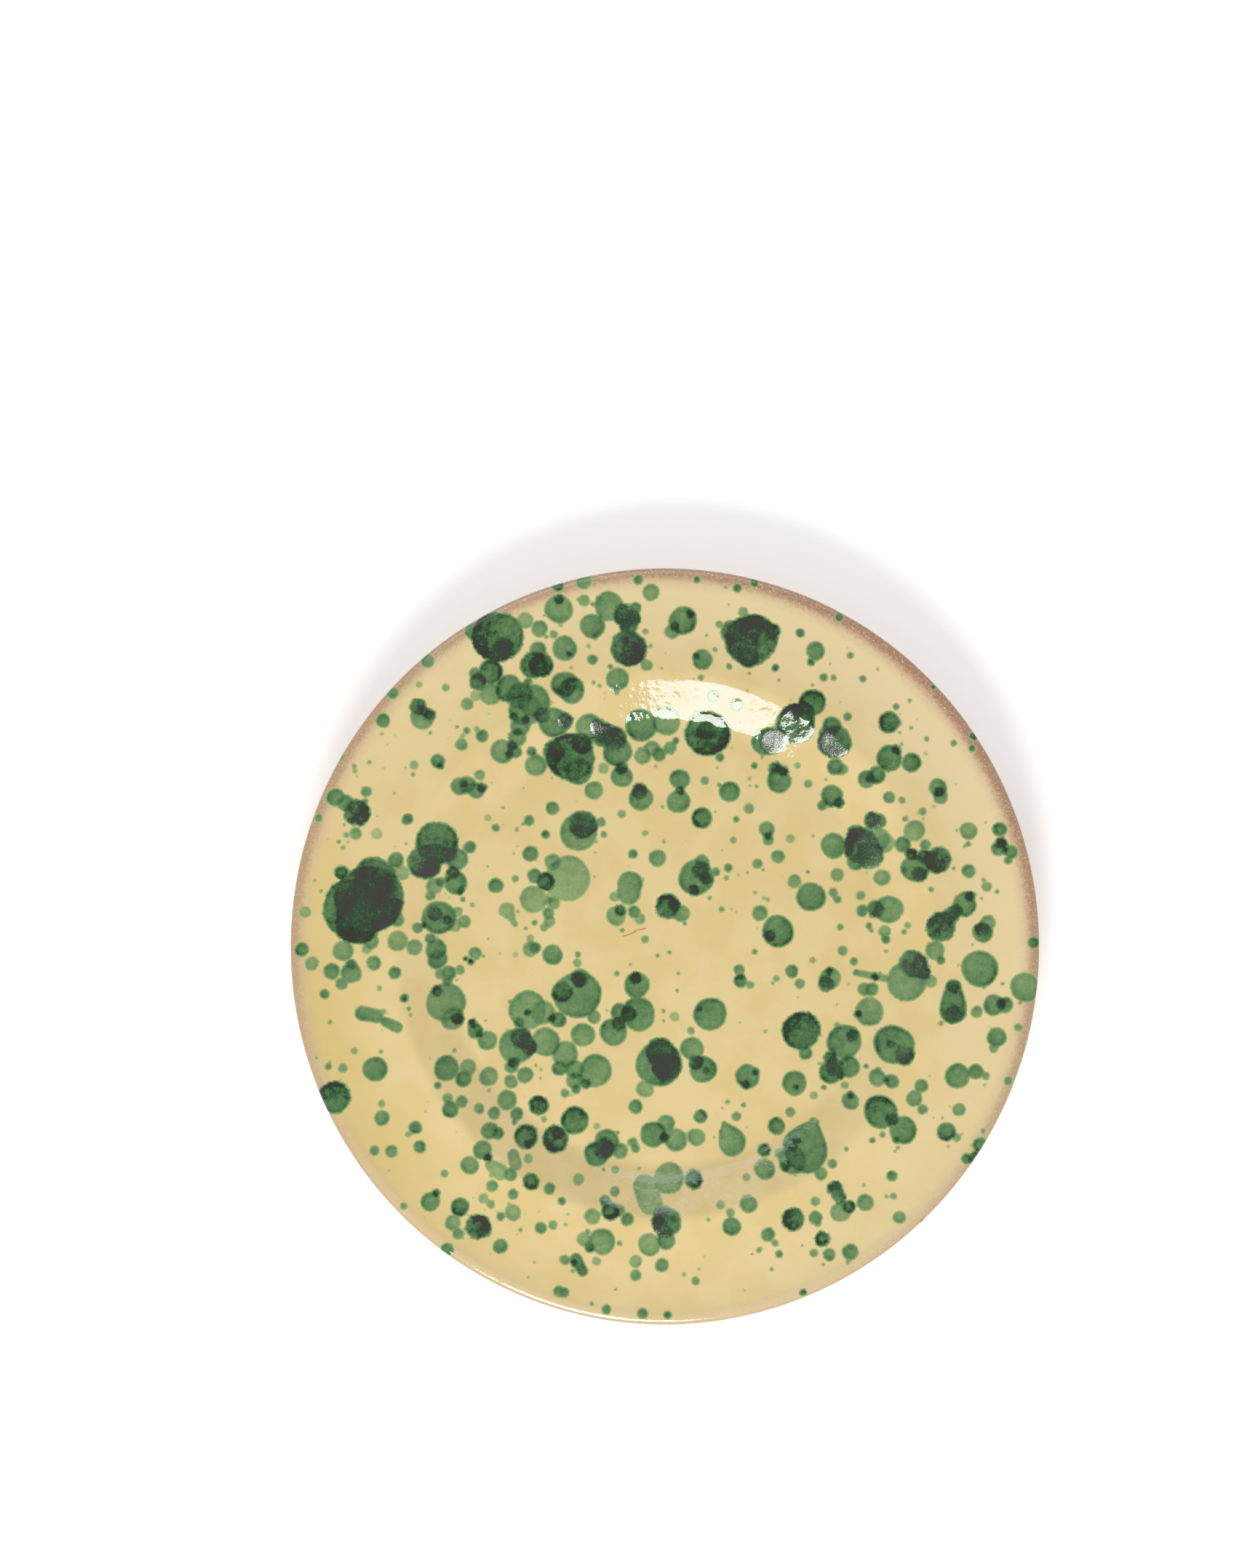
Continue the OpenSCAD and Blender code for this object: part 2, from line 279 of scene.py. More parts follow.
# %% Drops on the left
LEFT = [
    (-106, 17, 12.3, 1.0), (-112.2, 13.4, 10.8, 0.87), (-104, 24, 8.0, 0.99), (-101, 14, 6.8, 1.0),
    (-110, 9, 8.4, 0.9), (-116, 26.5, 2.6, 0.85), (-96, 9.5, 2.5, 0.55),
    (-105.5, 2, 3, 0.45), (-124, 46, 1.6, 0.45),
    (-111, 40.5, 2.3, 0.4), (-114.5, 40, 1.5, 0.15), (-103.5, 40.5, 2.4, 0.15), (-92, 46, 1.8, 0.5),
    (-82, 37, 7.7, 0.85), (-86.5, 30, 6, 1.0), (-78, 33, 3, 1.0), (-84, 34, 3, 1.0),
    (-75, 31, 4, 0.6), (-75.5, 22.5, 4.2, 0.6), (-76.5, 26, 2.5, 0.97), (-74, 19.5, 1.5, 0.95),
    (-78.5, 24, 1.3, 0.95), (-70.5, 35.5, 2.3, 0.6), (-64, 46, 1.5, 0.2), (-61, 42.5, 1.5, 0.5),
    (-49, 45, 2, 0.5), (-96.5, 31, 2.9, 0.6), (-94.5, 26.5, 3, 0.3), (-48.5, 33, 2.9, 0.6),
    (-47, 25, 2.7, 0.6), (-54, 24, 1.4, 0.35), (-61, 21.5, 2.8, 0.6), (-47.5, 16.5, 5, 0.35),
    (-69.5, 14.5, 1.2, 0.2), (-73, 16.5, 1, 0.5), (-83, 21.5, 3, 0.4), (-81, 23, 1.8, 0.6),
    (-84.5, 18, 1.8, 0.5), (-81.5, 10, 6.1, 0.65), (-83, 11.5, 2.8, 0.97), (-78.5, 9, 2, 0.9),
    (-86.5, 7.5, 1.2, 0.9), (-75, 12, 2, 0.35), (-72.5, 8.5, 2.4, 0.45), (-76, 7, 2.5, 0.25),
    (-89, 6.5, 2, 0.5), (-96, 2, 3.7, 0.4), (-90, -0.5, 2.9, 0.4), (-84.5, 2.5, 2, 0.6),
    (-82.5, -1.5, 3.8, 0.65), (-82, -5, 3.6, 0.6), (-68.5, -3, 2.4, 0.5), (-70, -6, 1.4, 0.9),
    (-72, -5, 1, 0.8), (-48.5, 2.5, 1.6, 0.25), (-48.5, -1.5, 2.9, 0.4), (-47, -1, 2.2, 0.6),
    (-54, -3.5, 1.4, 0.15), (-74, -9, 1.8, 0.4), (-78, -10, 2.7, 0.6), (-81, -10.5, 2, 0.4),
    (-78.5, -13, 1.8, 0.6), (-79, -20.5, 7, 0.5), (-82, -16.5, 2.2, 0.95), (-76.5, -26.5, 4.2, 0.5),
    (-75, -26.5, 2.4, 0.9), (-69.5, -28.5, 1.8, 0.95), (-68.5, -31, 2.9, 0.65), (-67, -32, 1.6, 0.85),
    (-64, -34.5, 3.6, 0.5), (-49.5, -23.5, 7, 0.45), (-52.5, -28, 2, 0.65), (-49.5, -24.5, 1.5, 0.8),
    (-53.5, -36.5, 6.5, 0.6), (-52, -33.5, 4, 0.98), (-49, -37, 3, 0.98), (-130, -1, 2.6, 0.65),
    (-126.5, -6, 2.6, 0.4), (-119.5, -9, 3, 0.6), (-112.5, -9.5, 3.8, 0.55), (-112.5, -6.5, 2, 0.75),
    (-116, -13.5, 2.2, 0.5), (-115.5, -1.5, 3.8, 0.45), (-122, -17, 1.8, 0.6), (-129, 12.5, 2.3, 0.3),
    (-104.5, -6, 2.7, 0.5), (-107, -1, 1.8, 0.3), (-97, -9.5, 2.3, 0.6), (-102.5, -15, 1.1, 0.3),
    (-93.5, -18.5, 1.5, 0.8), (-101, -23.5, 1.2, 0.3), (-111.5, -37.5, 1.4, 0.3),
]

# %% Drops in the middle
MIDDLE = [
    (-31, 41, 6.9, 0.5), (-29.5, 43.5, 5.2, 1.0), (-23, 44.5, 1.8, 0.4), (-43, 40, 1.6, 0.7),
    (-22, 40, 1.3, 0.4), (-15.5, 47.5, 1.6, 0.35), (-7, 40.5, 1.3, 0.25), (13.5, 46, 3.8, 0.75),
    (26, 45.5, 1.2, 0.55), (25, 38, 1.4, 0.3), (37, 42, 2.9, 0.5), (37.5, 38, 2.1, 0.5),
    (37.5, 39.5, 1.6, 0.9), (41, 32, 2.5, 0.5), (33.5, 29.5, 1.9, 0.45), (23, 28, 1.6, 0.55),
    (-2.5, 31.5, 3.2, 0.5), (-11.5, 33, 1.7, 0.65), (-35, 24, 8.3, 0.35), (-40.5, 30, 3, 0.4),
    (-43, 23, 3.5, 0.85), (-18, 17.5, 2, 0.3), (-17.5, 10.5, 3.6, 0.4), (-16, 12.5, 2.2, 0.8),
    (-11, 12, 2.3, 0.55), (-9, 9.5, 2.1, 0.35), (-40, 15, 2.3, 0.4), (-41.5, 16.5, 1.2, 0.6),
    (-42, 11.5, 2.2, 0.5), (-41.5, 8.5, 2.2, 0.35), (-43.5, 6.5, 1.6, 0.35), (-7, 2, 1.5, 0.35),
    (-40.5, -3.5, 3.7, 0.55), (-31.5, -6.5, 1.7, 0.3), (-31.5, -18, 8.6, 0.6), (-30.5, -12, 3.5, 0.6),
    (-31, -12.5, 2.8, 0.95), (-37, -17, 4, 0.75), (-10, -14.5, 4.7, 0.6), (-10.5, -12, 2.4, 0.9),
    (-9.5, -25, 6.2, 0.65), (-13, -25, 3, 0.85), (-16, -24.5, 3.5, 0.6), (-18.5, -31.5, 5, 0.6),
    (-16.5, -28.5, 2.8, 0.93), (-38.5, -27, 3, 0.6), (-40.5, -26.5, 1.7, 0.95), (-44, -24.5, 4.5, 0.4),
    (-25.5, -26, 2.5, 0.5), (-29.5, -32.5, 4.4, 0.5), (3.5, -26, 2, 0.2), (9.5, -31, 1.5, 0.35),
    (16.5, -25, 6, 0.65), (12.5, -23, 1.3, 0.85), (27, -9, 2, 0.5), (27.5, -13, 2.5, 0.65),
    (27.5, -11.5, 1.4, 0.95), (31, -14.5, 1.6, 0.35), (34.5, 11.5, 2.9, 0.5), (37.5, 16.5, 1, 0.25),
    (11.5, 24.5, 6.5, 0.6), (13, 27, 3.3, 0.98), (15, 24, 2.5, 0.97), (10.5, 20, 2.2, 0.95),
    (13.5, 30, 2.8, 0.6), (18.5, 26.5, 1.6, 0.5), (1, 14, 4.5, 0.85), (3.5, 14.5, 2.4, 0.97),
    (6, 11.5, 3.2, 0.5), (41, 5, 5.8, 0.7), (38, 3.5, 2.3, 0.95), (40.5, -12, 1.4, 0.3),
    (10, -37.5, 4.3, 0.5), (-43, -35, 5.3, 0.5), (-36, -39.5, 4.8, 0.5),
]

# %% Drops on the right
RIGHT = [
    (75, 45, 3.2, 0.98), (77, 45, 2.8, 0.6), (86.5, 46, 1.1, 0.35), (89.5, 41.5, 3.9, 0.4),
    (61, 36, 4.6, 0.6), (71, 36, 6.5, 0.97), (74, 32.5, 5, 1.0), (69.5, 40, 3.5, 0.97),
    (69, 30, 3, 0.6), (77, 38.5, 4.2, 0.45), (79.5, 37, 3.5, 0.3), (85.5, 36.5, 2.9, 0.65),
    (90, 28, 5, 0.65), (98, 31, 4.8, 1.0), (93, 32, 2.8, 0.98), (91.5, 26, 2.8, 0.97),
    (88.5, 33, 2.3, 0.9), (93.5, 36.5, 2, 0.5), (109, 41.5, 3.2, 0.45), (120, 42, 2.6, 0.7),
    (119.5, 35, 2.6, 0.6), (120.5, 37, 2.2, 0.98), (122, 34.5, 1.5, 0.95), (124, 34, 2.5, 0.6),
    (123, 31, 1.5, 0.55), (109, 27, 2.5, 0.55), (115.5, 21.5, 1.9, 0.35), (45.5, 38.5, 1.8, 0.25),
    (47, 23, 2.6, 0.4), (62.5, 25.5, 2.5, 0.4), (78.5, 24.5, 3, 0.45), (53, 17.5, 5.3, 0.65),
    (61, 19, 1.8, 0.45), (62.5, 16.5, 1.5, 0.5), (71, 18, 1.8, 0.35), (81, 13, 5.1, 0.55),
    (76.5, 13, 3.2, 0.98), (71.5, 12.5, 2.2, 0.6), (95.5, 20.5, 1.1, 0.4), (87.5, 7.5, 1.3, 0.35),
    (74, 7, 1.2, 0.5), (63.5, 6.5, 1.3, 0.45), (79.5, 5, 2.3, 0.4), (80, 2, 1.6, 0.65),
    (64.5, -2, 1.9, 0.4), (53.5, -5.5, 1.3, 0.3), (68.5, -6, 1.5, 0.5), (46, -9.5, 2.4, 0.6),
    (49, -14, 1.9, 0.45), (60, -12, 3.9, 0.5), (58.5, -14, 3, 0.98), (59.5, -9.5, 1.7, 0.9),
    (76, -11.5, 1.5, 0.9), (72, -16, 2.4, 0.5), (75, -16, 2.5, 0.55), (74, -24, 5.2, 0.5),
    (70, -25, 1.5, 0.9), (87, -13, 6.9, 0.5), (89.5, -6.5, 5, 1.0), (93, -9.5, 2.5, 0.95),
    (95.5, -12.5, 2.4, 0.35), (97, -1.5, 3.5, 0.45), (99, -5, 1.6, 0.6), (99, 7, 5.3, 1.0),
    (103, 11.5, 3, 1.0), (104.5, 13, 2.5, 0.98), (107.5, 15, 4.4, 0.6), (109.5, 18, 2, 0.95),
    (114, 5, 3.7, 0.6), (114, 6, 2.8, 0.95), (116, 8.5, 2.8, 0.45), (113, -8, 6.6, 0.6),
    (129, -14.5, 5.3, 0.5), (132, 1.5, 2.2, 0.7), (103.5, -14.5, 2.6, 0.95), (103.5, -24.5, 3.4, 0.95),
    (99, -27.5, 1.2, 0.3), (118, -21, 3.8, 0.6), (122, -21, 2.9, 0.6), (120.5, -20.5, 2, 0.85),
    (112, -23.5, 2.2, 0.45), (119, -32.5, 3.5, 0.6), (118, -36.5, 1.7, 0.4), (126.5, -29, 1.6, 0.4),
    (62.5, -29, 1.3, 0.3), (49.5, -31, 7, 0.9), (51, -39, 2.5, 0.6), (65, -35, 6.3, 0.65),
    (68, -33, 2.6, 0.97), (60, -41, 2.5, 0.97), (82.5, -35.5, 7, 0.7), (86, -39, 3.6, 0.97),
    (81.5, -35.5, 1.8, 0.85),
]

# %% Drops in the lower left
LOWER_LEFT = [
    (-104, -44, 4.5, 0.65), (-78.5, -44, 4.5, 0.65), (-71, -44, 3, 0.4), (-72.5, -48, 2.9, 0.65),
    (-63.5, -47.5, 3.5, 0.45), (-120.5, -43, 1.3, 0.5), (-115.5, -43.5, 1.8, 0.4),
    (-118.5, -54, 5.9, 0.9), (-81.5, -50, 1.3, 0.6), (-78, -54.5, 1.9, 0.4), (-77, -58.5, 3, 0.65),
    (-73, -56, 2.2, 0.5), (-67, -58.5, 1.9, 0.4), (-55.5, -44, 2.5, 0.5), (-54.5, -42.5, 2.2, 0.98),
    (-55.5, -49.5, 2.5, 0.45), (-50.5, -47, 3, 0.55), (-101.5, -56.5, 1.5, 0.3),
    (-101.5, -61.5, 2.8, 0.55), (-89.5, -65, 2.4, 0.65), (-92, -67.5, 1.3, 0.35), (-88, -72, 2.3, 0.6),
    (-104, -73, 1.8, 0.5), (-98, -73.5, 2.3, 0.5), (-57, -56, 3.6, 0.5), (-61.5, -60.5, 2.3, 0.5),
    (-53.5, -61, 2.4, 0.55), (-63, -66.5, 3.1, 0.6), (-60, -67.5, 2.1, 0.65), (-50, -69, 4.3, 0.8),
    (-49, -71, 2, 0.93), (-65.5, -73, 3.4, 0.55), (-63.5, -75.5, 1.6, 0.85), (-70, -78.5, 3.4, 0.5),
    (-49, -76.5, 1.8, 0.3), (-55.5, -82, 2.4, 0.5), (-62, -86, 2.2, 0.5), (-54.5, -89, 2, 0.5),
    (-48, -84.5, 3, 0.85), (-79, -81.5, 1.5, 0.4), (-84, -91.5, 3.5, 0.6), (-82, -88.5, 1.5, 0.8),
    (-93.5, -93, 1.4, 0.45), (-73.5, -93.5, 3.4, 0.75), (-65, -90.5, 2, 0.25),
    (-62.5, -92.5, 1.7, 0.35),
    (-59, -97, 1.6, 0.6), (-54.5, -95.5, 3.1, 0.35), (-67, -100.5, 4.6, 1.0), (-63.5, -103, 1.4, 0.4),
    (-76, -99, 2.9, 0.4), (-74, -103, 2.1, 0.45), (-59, -107.5, 2.7, 0.55), (-78, -108.5, 2.5, 0.75),
]

# %% Drops at the bottom
BOTTOM = [
    (-38, -44.5, 2.8, 0.6), (-32.5, -45, 3.5, 0.5), (-25, -45.5, 6, 0.55), (-32.5, -49, 3.2, 0.5),
    (-32, -52, 1.8, 0.6), (-28.5, -50, 2, 0.7), (-36, -53.5, 1.7, 0.4), (-45.5, -58, 3.6, 0.85),
    (-43.5, -63, 1.3, 0.3), (-32.5, -63.5, 5.1, 0.8), (-39.5, -70, 4.8, 0.85), (-38.5, -68, 2.6, 0.95),
    (-24.5, -65.5, 1.5, 0.2), (-21, -71, 4.5, 0.6), (-24.5, -75.5, 4.5, 0.7), (-22, -73.5, 4, 0.98),
    (-16, -74.5, 2.9, 0.55), (-18, -81, 1.5, 0.35), (-31, -84, 2.2, 0.3), (-18, -88.5, 1.8, 0.45),
    (-37, -91.5, 1.5, 0.6), (-41.5, -87, 2.1, 0.6), (-7, -52, 3.3, 0.35), (-10.5, -58.5, 2.6, 0.6),
    (-2, -43, 8.3, 0.7), (0.5, -44, 5.3, 1.0), (-1.5, -39, 5.5, 1.0), (14, -45, 4.9, 0.65),
    (11.5, -42.5, 2.8, 0.97), (15, -45.5, 1.6, 0.8), (30, -47.5, 4.4, 0.65), (33, -46, 1.5, 0.8),
    (29.5, -50.5, 1.8, 0.8), (13, -62, 2.5, 0.6), (26, -62, 1.8, 0.45), (40.5, -65.5, 3.2, 0.7),
    (-4, -68.5, 4.8, 0.65), (0.5, -64.5, 3.2, 0.5), (4, -70.5, 4.2, 0.5), (0, -69.5, 2, 0.9),
    (11.5, -69.5, 3.3, 0.45), (-11.5, -71.5, 1.9, 0.45), (-10.5, -73.5, 1.7, 0.5), (36, -74, 2.4, 0.8),
    (36, -80.5, 3.7, 0.5), (41.5, -75, 1.9, 0.3), (43.5, -79, 2.2, 0.75), (29.5, -83.5, 1.6, 0.25),
    (1.5, -84, 5.5, 0.4), (10.5, -84.5, 3.3, 0.85), (30, -92.5, 3.2, 0.5), (20, -93, 1.7, 0.3),
    (23.5, -95.5, 1.7, 0.35), (24, -100.5, 3.4, 0.65), (-19.5, -95, 3.3, 0.85), (-21.5, -91.5, 2, 0.6),
    (-16.5, -95, 2.2, 0.5), (-26, -97, 3, 0.4), (-13.5, -98, 2.4, 0.6), (0.5, -99, 5.4, 1.0),
    (0.5, -105.5, 3.4, 0.6), (-5.5, -107, 4.2, 0.4), (-22.5, -106, 4.8, 0.5), (-29, -105, 2.7, 0.35),
    (-27, -108, 2, 0.75), (-24.5, -113, 1.8, 0.25), (-40, -100, 1.8, 0.35), (-44.5, -101, 2.2, 0.55),
    (-36, -112.5, 1.9, 0.5), (-32.5, -113.5, 1.5, 0.85), (-38, -123.5, 2, 0.5), (-36, -124, 1.7, 0.7),
    (-10.5, -113, 2.4, 0.35), (-10.5, -118, 2.1, 0.45), (-1, -114.5, 2.5, 0.55), (-21, -130, 1.8, 0.55),
    (-8, -131.5, 2, 0.6), (1, -132, 1.5, 0.7), (11, -120, 1.6, 0.45), (37, -103.5, 2.6, 0.55),
    (39.5, -106.5, 1.3, 0.45), (41, -110.5, 1.4, 0.55),
]

# %% Drops in the lower right
LOWER_RIGHT = [
    (47, -50, 4.5, 0.6), (47.5, -51.5, 1.3, 0.8), (54, -54.5, 1.7, 0.25), (45.5, -60.5, 1.9, 0.4),
    (60, -46, 4.2, 0.7), (61.5, -44, 3.5, 0.98), (63.5, -47, 1.6, 0.9), (66.5, -44, 4, 0.7),
    (57.5, -51.5, 1, 0.6), (65, -50.5, 1.5, 0.3), (76.5, -47.5, 3.1, 0.5), (81.5, -48.5, 2.6, 0.6),
    (79.5, -48, 1.2, 0.9), (92, -50, 2.5, 0.55), (89.5, -54.5, 3, 0.5), (92.5, -58.5, 1.9, 0.5),
    (105, -46.5, 4.5, 0.6), (111.5, -45, 2.8, 0.6), (115, -46.5, 1.5, 0.4), (123, -48, 1.7, 0.5),
    (105.5, -58.5, 2.4, 0.45), (101, -66.5, 3.4, 0.7), (104.5, -68.5, 1.6, 0.4), (114, -66, 1, 0.45),
    (113, -71, 2.9, 0.7), (111.5, -76, 2.8, 0.85), (108, -76, 2, 0.7), (67, -56, 3.1, 0.5),
    (67, -54, 1.5, 0.75), (77.5, -59.5, 6, 0.75), (81.5, -62, 2.5, 0.97), (85.5, -66, 5, 0.65),
    (83, -69.5, 1.4, 0.7), (78, -67.5, 1.2, 0.4), (74.5, -69.5, 1.1, 0.6), (46, -77, 5, 0.5),
    (47.5, -70, 2, 0.97), (46.5, -72.5, 2, 0.9), (56, -81.5, 2.4, 0.5), (60, -78, 1.8, 0.45),
    (63, -95.5, 3.7, 0.4), (66, -93.5, 2.5, 0.8), (72, -92, 3.1, 0.5), (54, -91.5, 1.8, 0.4),
    (54, -97.5, 2.5, 0.5), (55, -99.5, 1.3, 0.45), (46, -98, 4.2, 0.9), (56.5, -105, 2.8, 0.85),
    (53.5, -110, 1.6, 0.4), (59, -110.5, 2.3, 0.55), (66.5, -109.5, 2.9, 0.6), (84, -97, 2.3, 0.45),
    (81.5, -82.5, 2, 0.6), (82, -89.5, 1.3, 0.4), (92.5, -98.5, 1, 0.8), (49.5, -124, 1.4, 0.7),
]

# %% [markdown]
# Some drops landed at a slant and left a streak. A streak is two circles and the straight
# sides between them: (x, y, radius) at one end, the same at the other, then the depth.
# %% Streaks
STREAKS = [
    (-57, 12.5, 3.2, -54, 7.5, 1.1, 0.3), (-108.5, -24, 2.8, -103.5, -25, 2.6, 0.6),
    (-100.5, -27, 1.7, -96, -29, 2.1, 0.6), (-12.5, 22, 4.7, -13, 19, 4.4, 0.55),
    (69.5, -10, 1.3, 80, -12, 1.4, 0.5), (103.5, -15, 3.0, 103.5, -23, 4.8, 0.65),
    (-62.5, -78.5, 2.2, -59, -81, 3.0, 0.35), (-54.5, -75, 2.0, -53.5, -78.5, 2.3, 0.45),
    (13, -60, 0.5, 15, -62, 0.5, 0.95), (21.5, -64.5, 1.0, 24.5, -71.5, 5.0, 0.5),
    (-7.2, -86.8, 4.2, -5.2, -92.2, 4.4, 0.35), (-32, -112.5, 2.4, -29.5, -116.5, 1.9, 0.6),
    (54, -64, 1.8, 50.5, -73.5, 8.0, 0.55), (61, -87, 2.8, 63, -90.5, 2.3, 1.0),
]
drops = UPPER_LEFT + TOP + UPPER_RIGHT + LEFT + MIDDLE + RIGHT + LOWER_LEFT + BOTTOM + LOWER_RIGHT
shapes = [(x, y, r, x, y, r, min(depth, 0.8 + 0.05 * r)) for x, y, r, depth in drops] + STREAKS
print("drops placed by hand:", len(drops), "streaks:", len(STREAKS))

# %% [markdown]
# Between them lie hundreds of pale specks, the mist from the brush. Nobody would know one
# from another, so they are thrown at random from a fixed seed, evenly over the area.
# %% Random specks
SPECK_SEED = 11
SPECK_COUNT = 420
rng = np.random.default_rng(SPECK_SEED)
speck_r = rng.uniform(0.35, 1.25, SPECK_COUNT) * rng.uniform(0.6, 1.0, SPECK_COUNT)
speck_at = (PLATE_R - 4) * np.sqrt(rng.uniform(0, 1, SPECK_COUNT))
speck_turn = rng.uniform(0, 2 * math.pi, SPECK_COUNT)
speck_depth = rng.uniform(0.12, 0.6, SPECK_COUNT)
for r, at, way, depth in zip(speck_r, speck_at, speck_turn, speck_depth):
    x, y = at * math.cos(way), at * math.sin(way)
    shapes.append((x, y, r, x, y, r, depth))
print("specks:", SPECK_COUNT)

# %% [markdown]
# ## Distances to the drops
# A drop's edge has to stay crisp however close one looks, so the mesh doesn't carry its colour.
# It carries how far each point is inside or outside the nearest drop, in millimetres, and the
# glaze material draws the edge where that distance crosses zero. Drops that overlap go to
# different layers, so that both edges survive and their tones can add up as glaze does.
# A drop takes the first layer where it has room. The count printed below shows that five layers
# are enough for that: the last two stay empty, as room for more drops.
# %% Sort the drops into layers
LAYERS = 7
GAP = 1.2
STREAK_STEPS = 6
FAR_OFF = 60


def circles_in(shape):
    """One circle for a drop, and a row of them for a streak."""
    start, end = np.array(shape[0:3]), np.array(shape[3:6])
    count = 1 if np.array_equal(start, end) else STREAK_STEPS
    return [start + (end - start) * i / count for i in range(count + (count > 1))]


def apart(a, b):
    """How far two drops or streaks are from touching."""
    if abs(a[0] - b[0]) + abs(a[1] - b[1]) > FAR_OFF:
        return FAR_OFF / 2
    pairs = [(p, q) for p in circles_in(a) for q in circles_in(b)]
    return min(math.hypot(p[0] - q[0], p[1] - q[1]) - p[2] - q[2] for p, q in pairs)


layers = [[] for _ in range(LAYERS)]
for shape in sorted(shapes, key=lambda s: -max(s[2], s[5])):
    room = [min((apart(shape, other) for other in layer), default=GAP) for layer in layers]
    free = next((i for i, space in enumerate(room) if space >= GAP), int(np.argmax(room)))
    layers[free].append(shape)
print("drops in each layer:", [len(layer) for layer in layers])

# %% [markdown]
# Next, each layer is measured at every point of the skin. A real drop is never a true circle,
# so three slow waves run round each edge, and it pools to one side, where it is darker. Sorting
# the points by x once means that a drop is only compared with points near it.
# %% Measure every skin point against a layer
FAR = -6.0
REACH = 1.1
UNEVEN = [(2, 0.022), (3, 0.014), (5, 0.01)]


def inside(points, shape, turns):
    """Distance in mm from each point to a drop's edge, positive inside, for a slightly uneven drop."""
    x0, y0, r0, x1, y1, r1, _ = shape
    along = np.array([x1 - x0, y1 - y0])
    length = math.hypot(*along)
    t = np.clip((points - (x0, y0)) @ along / max(length, 1e-6) ** 2, 0, 1)
    offset = points - (x0, y0) - t[:, None] * along
    bearing = np.arctan2(offset[:, 1], offset[:, 0])
    uneven = sum(size * np.sin(n * bearing + turn) for (n, size), turn in zip(UNEVEN, turns))
    size = r0 + (r1 - r0) * np.sin(t * math.pi / 2)
    return size * (1 + uneven) - np.hypot(offset[:, 0], offset[:, 1])


def layer_values(points, layer):
    """For each point the nearest drop's distance and depth, and how far the point is to the side
    where that drop pooled, from -1 to 1."""
    values = np.zeros((len(points), 3), np.float32)
    values[:, 0] = FAR
    order = np.argsort(points[:, 0])
    sorted_x = points[order, 0]
    for shape in layer:
        reach = max(shape[2], shape[5]) * REACH - FAR
        low = np.searchsorted(sorted_x, min(shape[0], shape[3]) - reach)
        high = np.searchsorted(sorted_x, max(shape[0], shape[3]) + reach)
        near = order[low:high]
        distance = inside(points[near], shape, rng.uniform(0, 2 * math.pi, len(UNEVEN)))
        lean = rng.uniform(0, 2 * math.pi)
        offset = (points[near] - shape[0:2]) / max(shape[2], shape[5])
        pooled = np.clip(offset @ (math.cos(lean), math.sin(lean)), -1, 1)
        nearer = distance > values[near, 0]
        values[near[nearer], 0] = distance[nearer]
        values[near[nearer], 1] = shape[6]
        values[near[nearer], 2] = pooled[nearer]
    return values


on_face = flat_r < PLATE_R + 1
on_face &= ring_of < len(face_r) + len(lip_r)
splash = np.zeros((LAYERS, len(skin), 3), np.float32)
splash[:, :, 0] = FAR
for number, layer in enumerate(layers):
    splash[number, on_face] = layer_values(skin[on_face, :2], layer)
print("skin points inside a drop:", int((splash[:, :, 0].max(0) > 0).sum()))

# %% [markdown]
# ## Drops with thickness
# Copper glaze was laid on top of the yellow one, so a drop stands a little proud: some
# hundredths of a millimetre for a tint and about a fifth for a black pool, which is a guess.
# Where drops overlap the swellings add up, but only to a limit. All this is real geometry here,
# because light running over the edges is how one sees it.
# %% Raise the drops
def ramp(values, low, high):
    """A soft step from 0 at low to 1 at high."""
    t = np.clip((values - low) / (high - low), 0, 1)
    return t * t * (3 - 2 * t)


THIN, THICK, MOST = 0.03, 0.16, 0.3
depth = splash[:, :, 1]
swell = (ramp(splash[:, :, 0], -0.3, 1.6) * (THIN + THICK * depth**2)).sum(0)
swell = np.minimum(swell, MOST)
skin[:, 2] += swell
print("highest swelling in mm:", round(float(swell.max()), 3))

# %% [markdown]
# ## The lip
# Molten glaze runs off a sharp edge, so at the lip the red clay shows through as a brown line.
# It is painted broad on one side of this plate and nearly gone on the other: the brown clay is
# real, but its breadth on the side away from the key window is painted shade. The mesh carries two
# numbers for it: the distance in from the edge, and a side weight for how bare the clay is, which
# also sets the painted shade and the painted sky reflection there.
# %% How bare and how shaded the lip is
BARE_FADE = 1.5
outline = PLATE_R * (1 - OVAL * np.cos(2 * angle))
from_edge = outline - np.hypot(skin[:, 0], skin[:, 1])
on_back = ring_of > np.argmax(ring_r)
from_edge = np.where(on_back, -from_edge, from_edge)
# The brown is painted broadest towards this side, away from the key window: bare clay with painted
# shade laid on it.
BARE_AND_SHADE_SIDE = math.radians(48)
SECOND_SIDE = math.radians(172)
AMBER_SIDE = math.radians(195)
second = 0.5 * np.clip(np.cos(angle - SECOND_SIDE), 0, 1) ** 3
bare_and_shade = np.clip((0.5 + 0.5 * np.cos(angle - BARE_AND_SHADE_SIDE)) ** BARE_FADE + second, 0, 1)
amber = np.clip(np.cos(angle - AMBER_SIDE), 0, 1) ** 2
lip = np.stack([from_edge, bare_and_shade, amber], 1).astype(np.float32)
print("lip values:", lip.shape)


